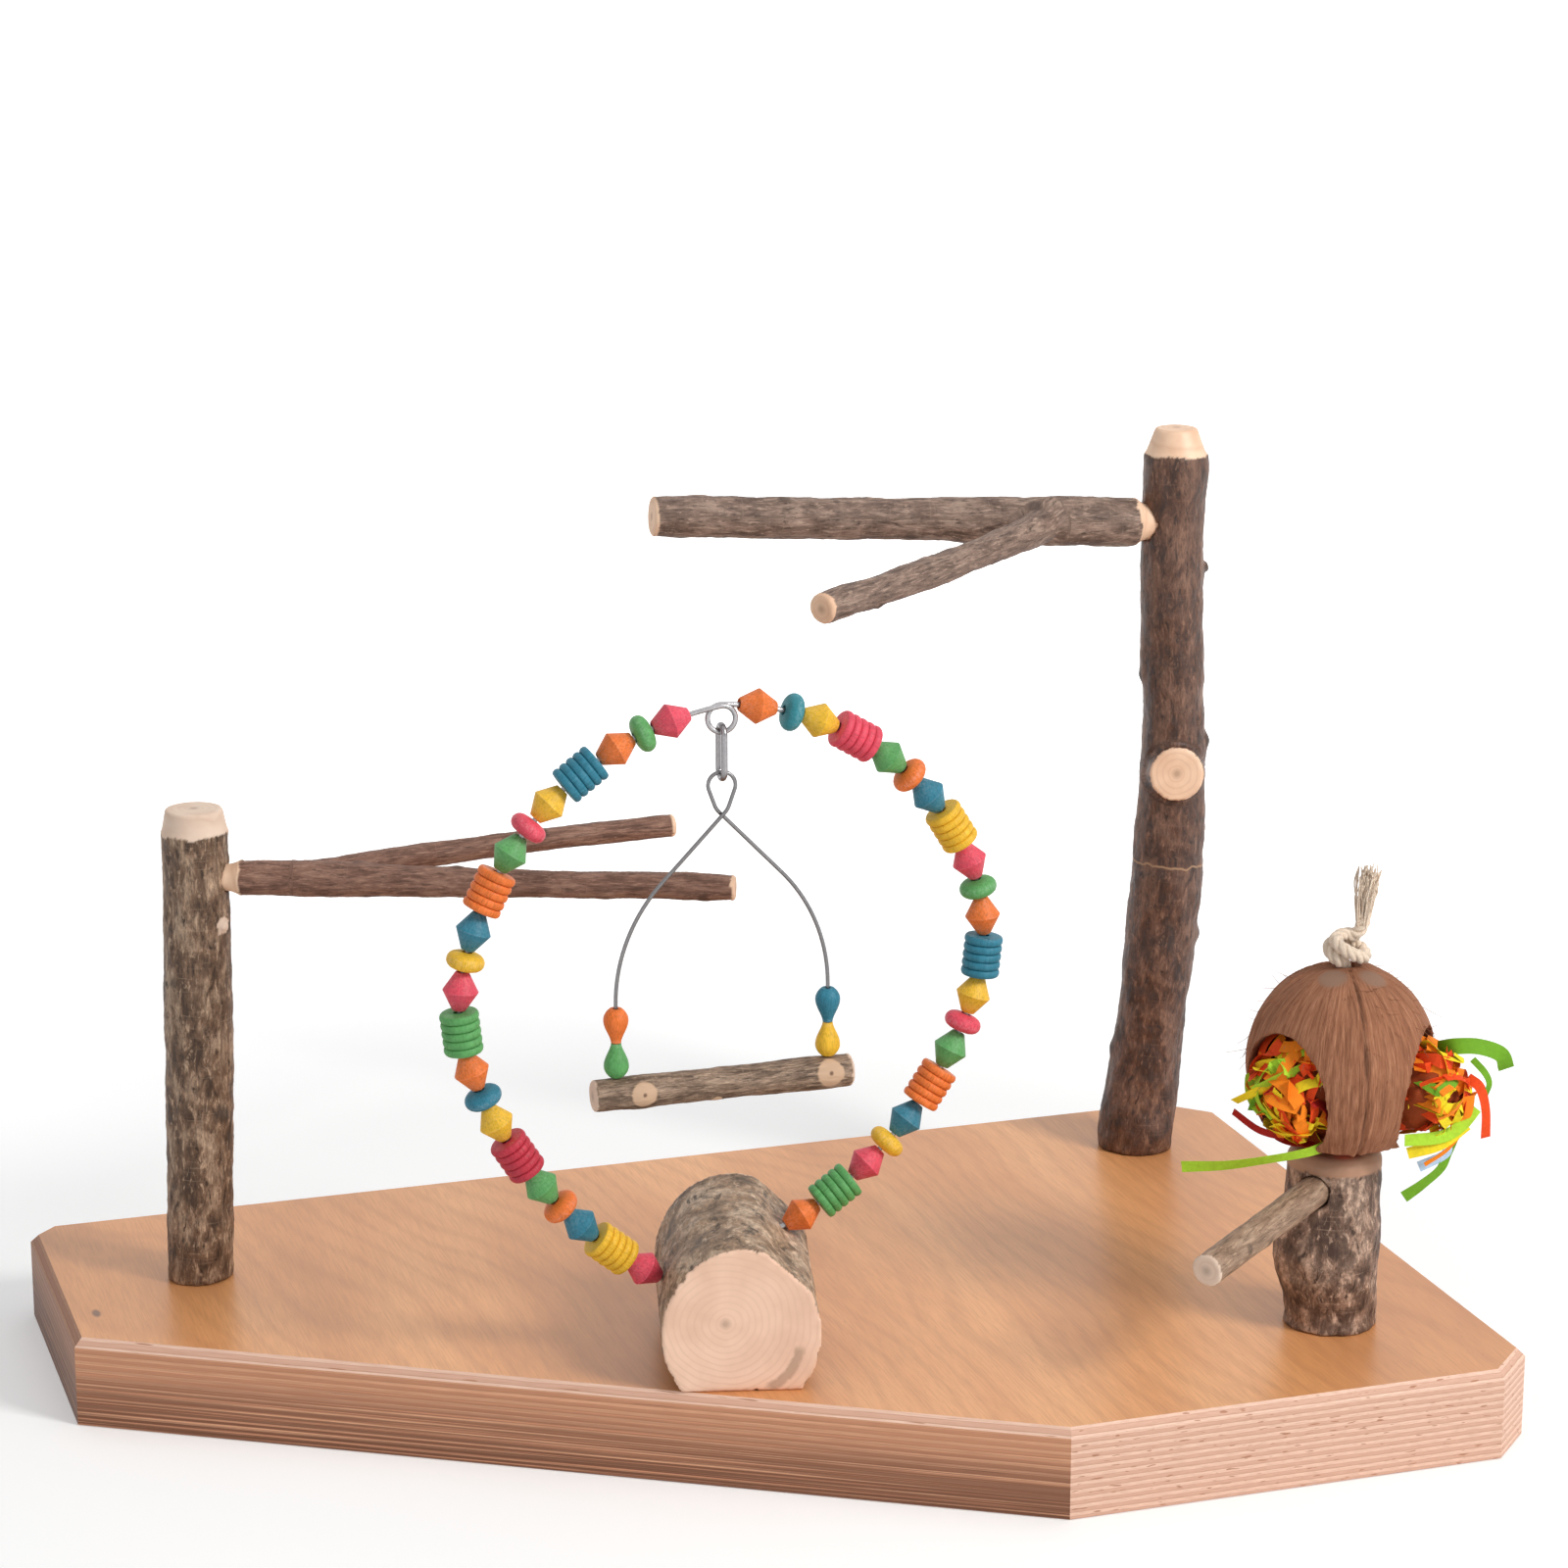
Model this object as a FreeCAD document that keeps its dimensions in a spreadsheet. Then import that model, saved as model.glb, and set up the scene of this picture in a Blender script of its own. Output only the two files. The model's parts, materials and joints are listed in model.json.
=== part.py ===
import FreeCAD, Part
import Sketcher
import math
import os

Vector = FreeCAD.Vector
Rotation = FreeCAD.Rotation
Placement = FreeCAD.Placement

# Parrot play stand.  Origin: middle of the board's rectangle, on its underside.
# +X runs along the long back edge to the right, +Y to the back, +Z up.  Millimetres.

doc = FreeCAD.newDocument("parrot_play_stand")

# ---------------------------------------------------------------- driving sizes

SIZES = [
    # board: a rectangle with its front-left corner cut off and three small corner cuts
    ("board_length", 600), ("board_depth", 373), ("board_thickness", 40),
    ("left_edge_length", 146), ("front_edge_length", 221.5),
    ("back_left_corner", 11), ("back_right_corner", 23), ("front_right_corner", 21),
    ("edge_break", 3.7),
    # left post and its forked perch
    ("left_post_x", -233.4), ("left_post_y", 99.6), ("left_post_height", 220),
    ("left_post_radius", 15.3), ("left_post_lean", 4.9),
    ("left_cap_height", 10.5), ("left_cap_radius", 12.6),
    ("left_perch_height", 188.6), ("left_perch_reach", 241), ("left_perch_angle", -22.4),
    ("left_perch_root", 8), ("left_perch_tip", 5.6), ("left_tenon_radius", 6),
    ("left_fork_distance", 44), ("left_arm_reach", 181), ("left_arm_angle", 5.1),
    ("left_arm_rise", 5), ("left_arm_bow", 16), ("left_arm_root", 6.2), ("left_arm_tip", 5.2),
    ("left_twig_height", 166.5), ("left_twig_angle", -52), ("left_twig_reach", 2.2),
    ("left_twig_root", 3.4), ("left_twig_tip", 2.2), ("cap_shoulder", 0.7),
    # right post and its forked perch
    ("right_post_x", 240.1), ("right_post_y", 129.9), ("right_post_height", 360),
    ("right_post_radius", 15.2), ("right_post_bow", 15.8),
    ("right_cap_height", 12.5), ("right_cap_radius", 9.8),
    ("stub_height", 192), ("stub_radius", 13), ("stub_reach", 21), ("stub_angle", -108),
    ("right_knot_height", 290.5), ("right_knot_angle", -8), ("right_knot_reach", 2.4),
    ("right_knot_root", 4.5), ("right_knot_tip", 2.6),
    ("right_perch_height", 314.1), ("right_perch_reach", 256), ("right_perch_angle", 176),
    ("right_perch_rise", 15), ("right_perch_root", 11.5), ("right_perch_tip", 9.4),
    ("right_tenon_radius", 8.5),
    ("right_fork_distance", 62), ("right_arm_reach", 195.5), ("right_arm_angle", -142.4),
    ("right_arm_rise", -7.7), ("right_arm_bow", 11), ("right_arm_root", 8), ("right_arm_tip", 6.8),
    ("socket_depth", 13), ("whittled_length", 4.3), ("bevel_of_sawn_ends", 0.9),
    # stump, its peg perch and the coconut on it
    ("stump_x", 232.2), ("stump_y", -109.9), ("stump_height", 82), ("stump_radius", 20.6),
    ("stump_bulge", 2.6), ("stump_bevel", 4),
    ("peg_height", 67.5), ("peg_reach", 114), ("peg_angle", -143), ("peg_drop", 7.5),
    ("peg_radius", 7.1), ("peg_hole_depth", 12.5),
    ("shell_radius", 42), ("shell_half_height", 46), ("shell_wall", 4), ("shell_mouth_drop", 31.4),
    ("shell_gap_to_stump", 5.9), ("shell_shift", 1.8), ("shell_turn", -159.3),
    ("window_half_width", 23.3), ("window_half_height", 27), ("window_drop", 6.5),
    ("crown_hole_radius", 3.6),
    ("swell_radius", 22), ("low_swell", 46), ("mid_swell", 51), ("high_swell", 57),
    ("paper_neck_radius", 24),
    # cotton rope
    ("rope_radius", 3), ("rope_hole_depth", 20), ("knot_width", 22), ("knot_height", 14),
    ("knot_shift", 2.5), ("tail_length", 29), ("tail_shift", 7), ("tail_tilt", 6), ("tail_spread", 5.6),
    # log
    ("log_x", -27.2), ("log_y", -59.1), ("log_length", 95), ("log_angle", 75.5),
    ("log_half_width", 34), ("log_half_height", 38.5), ("log_centre_height", 25.5),
    ("scrape_angle", 47), ("scrape_depth", 2.6),
    # ring wire and beads
    ("ring_x", -32.1), ("ring_y", -56.7), ("eye_height", 282.4), ("eye_radius", 5.8),
    ("ring_wire_radius", 1.15), ("coil_gap", 0.3), ("wire_depth_in_log", 14),
    ("left_shoulder_radius", 132.7), ("left_shoulder_turn", 72.6), ("left_start_slope", 7.6),
    ("left_side_radius", 79.7), ("left_side_turn", 29), ("left_lower_radius", 197),
    ("right_shoulder_radius", 130.7), ("right_shoulder_turn", 61), ("right_start_slope", 3.4),
    ("right_side_radius", 86.6), ("right_side_turn", 45.8), ("right_lower_radius", 168),
    ("cone_bead_length", 16.6), ("disc_bead_length", 7.8), ("barrel_bead_length", 18),
    ("cone_bead_radius", 7.6), ("disc_bead_radius", 8.2), ("barrel_bead_radius", 8.4),
    ("bead_end_radius", 3), ("bead_bore_radius", 2.15), ("bead_spacing", 0.8),
    ("barrel_ribs", 5), ("rib_groove_depth", 1.2), ("bead_sides", 12), ("loose_bead_place", 16),
    # chain link and swing
    ("link_length", 25.5), ("link_wire_radius", 1.45), ("link_bow_radius", 3.9),
    ("link_slack", 0.2), ("swing_wire_radius", 0.85), ("swing_half_spacing", 47.3),
    ("swing_shoulder_radius", 74), ("swing_leg_slope", 44), ("loop_radius", 5.7),
    ("loop_slope", 20), ("loop_bend_radius", 8), ("loop_drop", 18.525), ("cross_offset", 1),
    ("swing_perch_drop", 137.5), ("swing_perch_length", 115.6), ("swing_perch_radius", 7.2),
    ("leg_depth_in_perch", 7.5),
    ("drop_bead_length", 15), ("drop_bead_radius", 5.4), ("drop_bead_neck", 2.6),
    ("drop_bead_bore", 1.3),
    # fasteners and fits
    ("screw_length", 70), ("log_screw_length", 60), ("screw_radius", 2.2), ("screw_head_radius", 4.6),
    ("screw_head_height", 2.8), ("screw_recess", 1), ("screw_hole_radius", 2.6),
    ("log_screw_spread", 27), ("pilot_past_tip", 2),
    ("glue_fit", 0.1), ("rest_gap", 0.3), ("turning_gap", 0.4),
]

sheet = doc.addObject("Spreadsheet::Sheet", "Sizes")
for row, (alias, value) in enumerate(SIZES, start=1):
    sheet.set("A%d" % row, alias.replace("_", " "))
    sheet.set("B%d" % row, str(value))
    sheet.setAlias("B%d" % row, alias)
doc.recompute()


def size(alias):
    return float(sheet.get(alias))


def cell(alias):
    return "Sizes." + alias


# ---------------------------------------------------------------- helpers

def add(kind, name, **properties):
    """A document object; text values are bound as expressions, others are set."""
    made = doc.addObject(kind, name)
    for key, value in properties.items():
        if isinstance(value, str):
            made.setExpression(key, value)
        else:
            setattr(made, key, value)
    return made


def place(made, x=None, y=None, z=None, turn=None):
    """Bind the base point of a placement to the sheet and set its rotation."""
    if turn is not None:
        made.Placement = Placement(Vector(), turn)
    for axis, text in (("x", x), ("y", y), ("z", z)):
        if text is not None:
            made.setExpression("Placement.Base." + axis, text)
    return made


def flat(degrees):
    """Unit vector in the horizontal plane."""
    angle = math.radians(degrees)
    return Vector(math.cos(angle), math.sin(angle), 0)


def facing(direction):
    """Rotation that carries +Z onto a direction."""
    return Rotation(Vector(0, 0, 1), direction)


def bezier(start, middle, end, share):
    return start * (1 - share) ** 2 + middle * (2 * share * (1 - share)) + end * share ** 2


def loft(name, stations, level=False):
    """Solid loft through round sections; a station is a point and a radius.

    A level loft keeps its sections horizontal, so that its foot stands flat."""
    points = [point for point, _ in stations]
    sections = []
    for index, (point, radius) in enumerate(stations):
        before = points[max(index - 1, 0)]
        after = points[min(index + 1, len(points) - 1)]
        section = add("Part::Circle", "%s_section_%d" % (name, index), Radius=radius)
        section.Placement = Placement(point, facing(UP if level else after - before))
        sections.append(section)
    return add("Part::Loft", name, Sections=sections, Solid=True, Ruled=False)


def between(table, share):
    """Value at a share of the length, from a table of (share, value) pairs."""
    for (low, value_low), (high, value_high) in zip(table, table[1:]):
        if share <= high:
            return value_low + (value_high - value_low) * (share - low) / (high - low)
    return table[-1][1]


def cylinder(name, radius, height, start, direction):
    made = add("Part::Cylinder", name, Radius=radius, Height=height)
    made.Placement = Placement(start, facing(direction))
    return made


def cone(name, radius_start, radius_end, height, start, direction):
    made = add("Part::Cone", name, Radius1=radius_start, Radius2=radius_end, Height=height)
    made.Placement = Placement(start, facing(direction))
    return made


def fuse(name, shapes):
    return add("Part::MultiFuse", name, Shapes=shapes)


def cut(name, base, tools):
    tool = tools[0] if len(tools) == 1 else fuse(name + "_tools", tools)
    return add("Part::Cut", name, Base=base, Tool=tool)


nodes = {}


def node(name, feature):
    """Register a finished piece; its label is the name of its file."""
    feature.Label = name
    nodes[name] = feature
    return feature


TOP = size("board_thickness")
UP = Vector(0, 0, 1)
OVERCUT = 1.0  # how far a cutting tool runs past the face that it enters


def on_board(x_alias, y_alias, height=0.0):
    return Vector(size(x_alias), size(y_alias), TOP + height)


# ---------------------------------------------------------------- screws

def screw_places():
    """Heads of the screws on the underside, with the screw length at each."""
    log_middle = on_board("log_x", "log_y")
    along = flat(size("log_angle")) * size("log_screw_spread")
    places = [
        ("left_post", on_board("left_post_x", "left_post_y"), "screw_length"),
        ("right_post", on_board("right_post_x", "right_post_y"), "screw_length"),
        ("stump", on_board("stump_x", "stump_y"), "screw_length"),
        ("log_front", log_middle - along, "log_screw_length"),
        ("log_back", log_middle + along, "log_screw_length"),
    ]
    return [(name, Vector(at.x, at.y, size("screw_recess")), length) for name, at, length in places]


def screw(name, head, length_alias):
    """Countersunk wood screw that points up, with a hexagonal drive recess."""
    length = size(length_alias)
    tip = 2 * size("screw_radius")
    head_cone = cone(name + "_head", cell("screw_head_radius"), cell("screw_radius"),
                     cell("screw_head_height"), head, UP)
    shank = cylinder(name + "_shank", cell("screw_radius"), length - tip, head, UP)
    point = cone(name + "_point", cell("screw_radius"), 0.4, tip, head + UP * (length - tip), UP)
    drive = add("Part::Prism", name + "_drive", Polygon=6, Circumradius=cell("screw_radius"),
                Height=cell("screw_head_height") + " * 0.7")
    drive.Placement = Placement(head, Rotation())
    return cut(name, fuse(name + "_blank", [head_cone, shank, point]), [drive])


def screw_hole(name, head):
    """Clearance hole through the board with its countersink."""
    below = Vector(head.x, head.y, -OVERCUT)
    hole = cylinder(name + "_hole", cell("screw_hole_radius"), TOP + 2 * OVERCUT, below, UP)
    wide = cylinder(name + "_mouth", cell("screw_head_radius") + " + " + cell("glue_fit"),
                    size("screw_recess") + OVERCUT, below, UP)
    sink = cone(name + "_sink", cell("screw_head_radius") + " + " + cell("glue_fit"),
                cell("screw_radius") + " + " + cell("glue_fit"), cell("screw_head_height"), head, UP)
    return [hole, wide, sink]


def pilot_hole(name, head, length_alias):
    """Hole that the screw's thread fills in the wood above the board."""
    depth = size(length_alias) + size("screw_recess") - TOP + size("pilot_past_tip")
    return cylinder(name + "_pilot", cell("screw_radius") + " + " + cell("glue_fit"), depth + OVERCUT,
                    Vector(head.x, head.y, TOP - OVERCUT), UP)


SCREWS = screw_places()
screws = [screw("screw_" + name, head, length) for name, head, length in SCREWS]
node("wood_screws", add("Part::Compound", "wood_screws", Links=screws))
PILOTS = {name: pilot_hole(name, head, length) for name, head, length in SCREWS}


# ---------------------------------------------------------------- board

def board():
    """Board outline, sketched on the floor plane and padded up, with a broken top edge."""
    body = doc.addObject("PartDesign::Body", "board_body")
    sketch = body.newObject("Sketcher::SketchObject", "board_outline")
    plane = [item for item in body.Origin.OriginFeatures if item.Role == "XY_Plane"][0]
    sketch.AttachmentSupport = [(plane, "")]
    sketch.MapMode = "FlatFace"
    half_x = cell("board_length") + " / 2"
    half_y = cell("board_depth") + " / 2"
    corners = [
        ("-" + half_x, half_y + " - " + cell("left_edge_length")),
        ("-" + half_x, half_y + " - " + cell("back_left_corner")),
        ("-" + half_x + " + " + cell("back_left_corner"), half_y),
        (half_x + " - " + cell("back_right_corner"), half_y),
        (half_x, half_y + " - " + cell("back_right_corner")),
        (half_x, "-" + half_y + " + " + cell("front_right_corner")),
        (half_x + " - " + cell("front_right_corner"), "-" + half_y),
        (half_x + " - " + cell("front_edge_length"), "-" + half_y),
    ]
    hx, hy = size("board_length") / 2, size("board_depth") / 2
    start = [
        (-hx, hy - size("left_edge_length")), (-hx, hy - size("back_left_corner")),
        (-hx + size("back_left_corner"), hy), (hx - size("back_right_corner"), hy),
        (hx, hy - size("back_right_corner")), (hx, -hy + size("front_right_corner")),
        (hx - size("front_right_corner"), -hy), (hx - size("front_edge_length"), -hy),
    ]
    count = len(corners)
    for index in range(count):
        x0, y0 = start[index]
        x1, y1 = start[(index + 1) % count]
        sketch.addGeometry(Part.LineSegment(Vector(x0, y0, 0), Vector(x1, y1, 0)), False)
    for index in range(count):
        sketch.addConstraint(Sketcher.Constraint("Coincident", index, 2, (index + 1) % count, 1))
    for index, (x_text, y_text) in enumerate(corners):
        across = sketch.addConstraint(
            Sketcher.Constraint("DistanceX", -1, 1, index, 1, start[index][0]))
        sketch.setExpression("Constraints[%d]" % across, x_text)
        deep = sketch.addConstraint(
            Sketcher.Constraint("DistanceY", -1, 1, index, 1, start[index][1]))
        sketch.setExpression("Constraints[%d]" % deep, y_text)
    pad = body.newObject("PartDesign::Pad", "board_pad")
    pad.Profile = sketch
    pad.setExpression("Length", cell("board_thickness"))
    doc.recompute()
    top_face = [index for index, face in enumerate(pad.Shape.Faces, start=1)
                if face.normalAt(0, 0).z > 0.9][0]
    broken = body.newObject("PartDesign::Chamfer", "board_edge")
    broken.Base = (pad, ["Face%d" % top_face])
    broken.setExpression("Size", cell("edge_break"))
    body.Tip = broken
    holes = []
    for name, head, _ in SCREWS:
        holes += screw_hole(name, head)
    return cut("base_board", body, holes)


node("base_board", board())


# ---------------------------------------------------------------- posts

LEFT_LEAN = [(0, 0), (0.3, 0.4), (0.6, 0.8), (0.8, 0.95), (1, 1)]
LEFT_GIRTH = [(0, 0.965), (0.3, 1.0), (0.62, 1.015), (0.85, 0.99), (1, 0.99)]
RIGHT_BOW = [(0, 0), (0.07, 0.16), (0.18, 0.45), (0.31, 0.74), (0.42, 0.92), (0.53, 1.0),
             (0.65, 0.91), (0.76, 0.82), (1, 0.84)]
TWIG_RISE = 0.11  # side twigs point this much upwards for each unit outwards
RIGHT_GIRTH = [(0, 1.21), (0.07, 1.185), (0.18, 1.085), (0.31, 1.14), (0.42, 1.13), (0.53, 1.09),
               (0.65, 0.97), (0.78, 1.0), (1, 1.0)]


def left_axis(height):
    share = height / size("left_post_height")
    return on_board("left_post_x", "left_post_y", height) + Vector(
        size("left_post_lean") * between(LEFT_LEAN, share), 0, 0)


def right_axis(height):
    share = height / size("right_post_height")
    return on_board("right_post_x", "right_post_y", height) + Vector(
        size("right_post_bow") * between(RIGHT_BOW, share), 0, 0)


def socket(name, axis_point, direction, radius_alias, post_radius, depth):
    """Blind hole for a perch tenon, bored towards the post's centre."""
    return cylinder(name, cell(radius_alias) + " + " + cell("glue_fit"), depth + post_radius,
                    axis_point + direction * (post_radius - depth), direction)


def left_post():
    height = size("left_post_height")
    radius = size("left_post_radius")
    bark_top = height - size("left_cap_height")
    steps = 6
    stations = [(left_axis(bark_top * k / steps), radius * between(LEFT_GIRTH, k / steps))
                for k in range(steps + 1)]
    trunk = loft("left_trunk", stations, level=True)
    cap = cone("left_cap", radius - size("cap_shoulder"), cell("left_cap_radius"),
               cell("left_cap_height"), left_axis(bark_top), UP)
    twig = cone("left_twig", cell("left_twig_root"), cell("left_twig_tip"),
                radius + size("left_twig_reach"), left_axis(size("left_twig_height")),
                flat(size("left_twig_angle")) + UP * TWIG_RISE)
    return fuse("left_post_wood", [trunk, cap, twig])


def right_post():
    height = size("right_post_height")
    radius = size("right_post_radius")
    bark_top = height - size("right_cap_height")
    steps = 12
    stations = [(right_axis(bark_top * k / steps), radius * between(RIGHT_GIRTH, k / steps))
                for k in range(steps + 1)]
    trunk = loft("right_trunk", stations, level=True)
    cap = cone("right_cap", radius - size("cap_shoulder"), cell("right_cap_radius"),
               cell("right_cap_height"), right_axis(bark_top), UP)
    stub = cone("right_stub", size("stub_radius") * 1.12, cell("stub_radius"), cell("stub_reach"),
                right_axis(size("stub_height")), flat(size("stub_angle")) + UP * TWIG_RISE)
    knot = cone("right_knot", cell("right_knot_root"), cell("right_knot_tip"),
                radius + size("right_knot_reach"), right_axis(size("right_knot_height")),
                flat(size("right_knot_angle")) + UP * TWIG_RISE)
    return fuse("right_post_wood", [fuse("right_trunk_and_stub", [trunk, stub]), cap, knot])


# ---------------------------------------------------------------- perches

def stem(name, start, end, post_radius, tenon_alias, root, tip):
    """Stem of a forked perch: tenon, whittled shoulder and a slightly uneven bark stem."""
    direction = (end - start).normalize()
    length = (end - start).Length
    seat = post_radius + size("rest_gap")
    bark = seat + size("whittled_length")
    bevel = size("bevel_of_sawn_ends")
    tenon_start = start + direction * (post_radius - size("socket_depth") + size("glue_fit"))
    tenon = cylinder(name + "_tenon", cell(tenon_alias), seat - post_radius + size("socket_depth"),
                     tenon_start, direction)
    shoulder = cone(name + "_shoulder", cell(tenon_alias), root - 0.5, cell("whittled_length"),
                    start + direction * seat, direction)
    across = UP.cross(direction).normalize()
    swell = root * 0.07
    shares = [(0, root, 0), (0.14, root * 1.03, swell), (0.42, (root * 1.1 + tip) / 2.1, -swell),
              (0.72, (root + tip * 3) / 4, swell * 0.6), (1, tip, 0)]
    reach = length - bark - bevel
    stations = [(start + direction * (bark + reach * share) + across * shift, radius)
                for share, radius, shift in shares]
    wood = loft(name + "_stem", stations)
    end_bevel = cone(name + "_end", tip, tip - bevel, bevel, start + direction * (length - bevel),
                     direction)
    return [tenon, shoulder, wood, end_bevel]


def arm(name, start, end, bow, root, tip):
    """Side arm of a fork: leaves along its parent and bends away in one sweep."""
    run = end - start
    side = UP.cross(run).normalize()
    middle = start + run * 0.3 + side * bow
    bevel = size("bevel_of_sawn_ends")
    shares = [0, 0.16, 0.34, 0.56, 0.78, 1]
    stations = [(bezier(start, middle, end, share), root + (tip - root) * share) for share in shares]
    last = (stations[-1][0] - stations[-2][0]).normalize()
    wood = loft(name + "_arm", stations)
    end_bevel = cone(name + "_end", tip, tip - bevel, bevel, end, last)
    return [wood, end_bevel]


def left_fork():
    post = left_axis(size("left_perch_height"))
    direction = flat(size("left_perch_angle"))
    end = post + direction * size("left_perch_reach")
    pieces = stem("left_perch", post, end, size("left_post_radius"), "left_tenon_radius",
                  size("left_perch_root"), size("left_perch_tip"))
    fork = post + direction * size("left_fork_distance")
    arm_end = fork + flat(size("left_arm_angle")) * size("left_arm_reach") + UP * size("left_arm_rise")
    pieces += arm("left_perch_back", fork, arm_end, size("left_arm_bow"), size("left_arm_root"),
                  size("left_arm_tip"))
    return post, direction, fuse("left_perch", pieces)


def right_fork():
    post = right_axis(size("right_perch_height"))
    flat_end = post + flat(size("right_perch_angle")) * size("right_perch_reach")
    end = flat_end + UP * size("right_perch_rise")
    direction = (end - post).normalize()
    pieces = stem("right_perch", post, end, size("right_post_radius"), "right_tenon_radius",
                  size("right_perch_root"), size("right_perch_tip"))
    fork = post + direction * size("right_fork_distance")
    arm_end = fork + flat(size("right_arm_angle")) * size("right_arm_reach")
    arm_end = arm_end + UP * size("right_arm_rise")
    pieces += arm("right_perch_front", fork, arm_end, size("right_arm_bow"), size("right_arm_root"),
                  size("right_arm_tip"))
    return post, direction, fuse("right_perch", pieces)


left_seat, left_way, left_perch = left_fork()
right_seat, right_way, right_perch = right_fork()
node("left_perch", left_perch)
node("right_perch", right_perch)
left_socket = socket("left_socket", left_seat, left_way, "left_tenon_radius",
                     size("left_post_radius"), size("socket_depth"))
right_socket = socket("right_socket", right_seat, right_way, "right_tenon_radius",
                      size("right_post_radius"), size("socket_depth"))
node("left_post", cut("left_post", left_post(), [left_socket, PILOTS["left_post"]]))
node("right_post", cut("right_post", right_post(), [right_socket, PILOTS["right_post"]]))


# ---------------------------------------------------------------- stump and peg

STUMP = on_board("stump_x", "stump_y")
STUMP_TOP = STUMP + UP * size("stump_height")
COCONUT = STUMP_TOP + Vector(size("shell_shift"), 0,
                             size("shell_gap_to_stump") + size("shell_mouth_drop"))
ROPE_AXIS = Vector(COCONUT.x, COCONUT.y, 0)


def peg_line():
    run = flat(size("peg_angle")) * size("peg_reach") - UP * size("peg_drop")
    return STUMP + UP * size("peg_height"), run * (1 / run.Length), run.Length


def stump():
    radius = size("stump_radius")
    bevel = size("stump_bevel")
    straight = size("stump_height") - bevel
    bulge = size("stump_bulge")
    girth = [(0, 0), (0.2, 0.25), (0.4, 1), (0.6, 0.7), (0.8, 0.15), (1, 0)]
    stations = [(STUMP + Vector(-bulge * swell, 0, straight * up), radius + bulge * swell)
                for up, swell in girth]
    trunk = loft("stump_trunk", stations, level=True)
    top = cone("stump_top", radius, radius - bevel * 0.7, bevel, STUMP + UP * straight, UP)
    origin, way, _ = peg_line()
    peg_hole = cylinder("peg_hole", cell("peg_radius") + " + " + cell("glue_fit"),
                        2 * size("peg_hole_depth"),
                        origin + way * (radius - size("peg_hole_depth")), way)
    rope_hole = cylinder("rope_hole", cell("rope_radius") + " + " + cell("glue_fit"),
                         size("rope_hole_depth") + OVERCUT,
                         ROPE_AXIS + UP * (STUMP_TOP.z - size("rope_hole_depth")), UP)
    wood = fuse("stump_wood", [trunk, top])
    return cut("stump", wood, [peg_hole, rope_hole, PILOTS["stump"]])


def stump_perch():
    origin, way, reach = peg_line()
    inside = size("stump_radius") - size("peg_hole_depth") + size("glue_fit")
    bevel = size("bevel_of_sawn_ends")
    radius = size("peg_radius")
    rod = cylinder("peg_rod", cell("peg_radius"), reach - inside - bevel, origin + way * inside, way)
    end = cone("peg_end", radius, radius - bevel, bevel, origin + way * (reach - bevel), way)
    return fuse("stump_perch", [rod, end])


node("stump", stump())
node("stump_perch", stump_perch())


# ---------------------------------------------------------------- coconut

def ellipsoid(name, across, upright, centre):
    made = add("Part::Ellipsoid", name, Radius1=upright, Radius2=across, Radius3=across)
    made.Placement = Placement(centre, Rotation())
    return made


def window_tool(name, turn):
    """Arched window: an upright ellipse pushed out through the wall."""
    way = flat(turn)
    across = UP.cross(way)
    frame = Rotation(across, UP, way, "ZXY")
    outline = add("Part::Ellipse", name + "_outline", MajorRadius=cell("window_half_height"),
                  MinorRadius=cell("window_half_width"))
    inside = way * (size("shell_radius") * 0.3)
    outline.Placement = Placement(COCONUT - UP * size("window_drop") + inside,
                                  frame.multiply(Rotation(UP, 90)))
    push = add("Part::Extrusion", name, Base=outline, Solid=True, LengthFwd=cell("shell_radius"))
    push.DirMode = "Custom"
    push.Dir = way
    return push


def shell():
    """Coconut shell, mouth down, with three arches that leave three legs."""
    wall = cell("shell_wall")
    outer = ellipsoid("shell_outside", cell("shell_radius"), cell("shell_half_height"), COCONUT)
    inner = ellipsoid("shell_inside", cell("shell_radius") + " - " + wall,
                      cell("shell_half_height") + " - " + wall, COCONUT)
    below = cylinder("shell_mouth", size("shell_radius") + OVERCUT, size("shell_half_height"),
                     COCONUT - UP * (size("shell_mouth_drop") + size("shell_half_height")), UP)
    crown = cylinder("crown_hole", cell("crown_hole_radius"), size("shell_half_height") + OVERCUT, COCONUT,
                     UP)
    windows = [window_tool("window_%d" % k, size("shell_turn") + 120 * k) for k in range(3)]
    return cut("coconut_shell", outer, [inner, below, crown] + windows)


def stuffing():
    """Crinkled paper: fills the shell, rests on the stump and swells out of the windows."""
    gap = size("turning_gap")
    fill = add("Part::Sphere", "paper_fill",
               Radius=cell("shell_radius") + " - " + cell("shell_wall") + " - " + cell("turning_gap"))
    fill.Placement = Placement(COCONUT, Rotation())
    seat = Vector(COCONUT.x, COCONUT.y, STUMP_TOP.z + size("rest_gap"))
    neck = cylinder("paper_neck", cell("paper_neck_radius"), COCONUT.z - seat.z, seat, UP)
    swells = [neck]
    for k, reach in enumerate(("low_swell", "high_swell", "mid_swell")):
        way = flat(size("shell_turn") + 120 * k)
        lump = add("Part::Sphere", "paper_" + reach, Radius=cell("swell_radius"))
        lump.Placement = Placement(COCONUT - UP * size("window_drop")
                                   + way * (size(reach) - size("swell_radius")), Rotation())
        swells.append(lump)
    foot = cylinder("paper_foot", size("shell_radius") * 2, size("shell_half_height"),
                    seat - UP * size("shell_half_height"), UP)
    core = cylinder("paper_core", size("rope_radius") + gap, size("shell_half_height") * 3,
                    COCONUT - UP * size("shell_half_height") * 1.5, UP)
    return cut("paper_stuffing", fuse("paper_lump", [fill] + swells), [foot, core])


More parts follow.
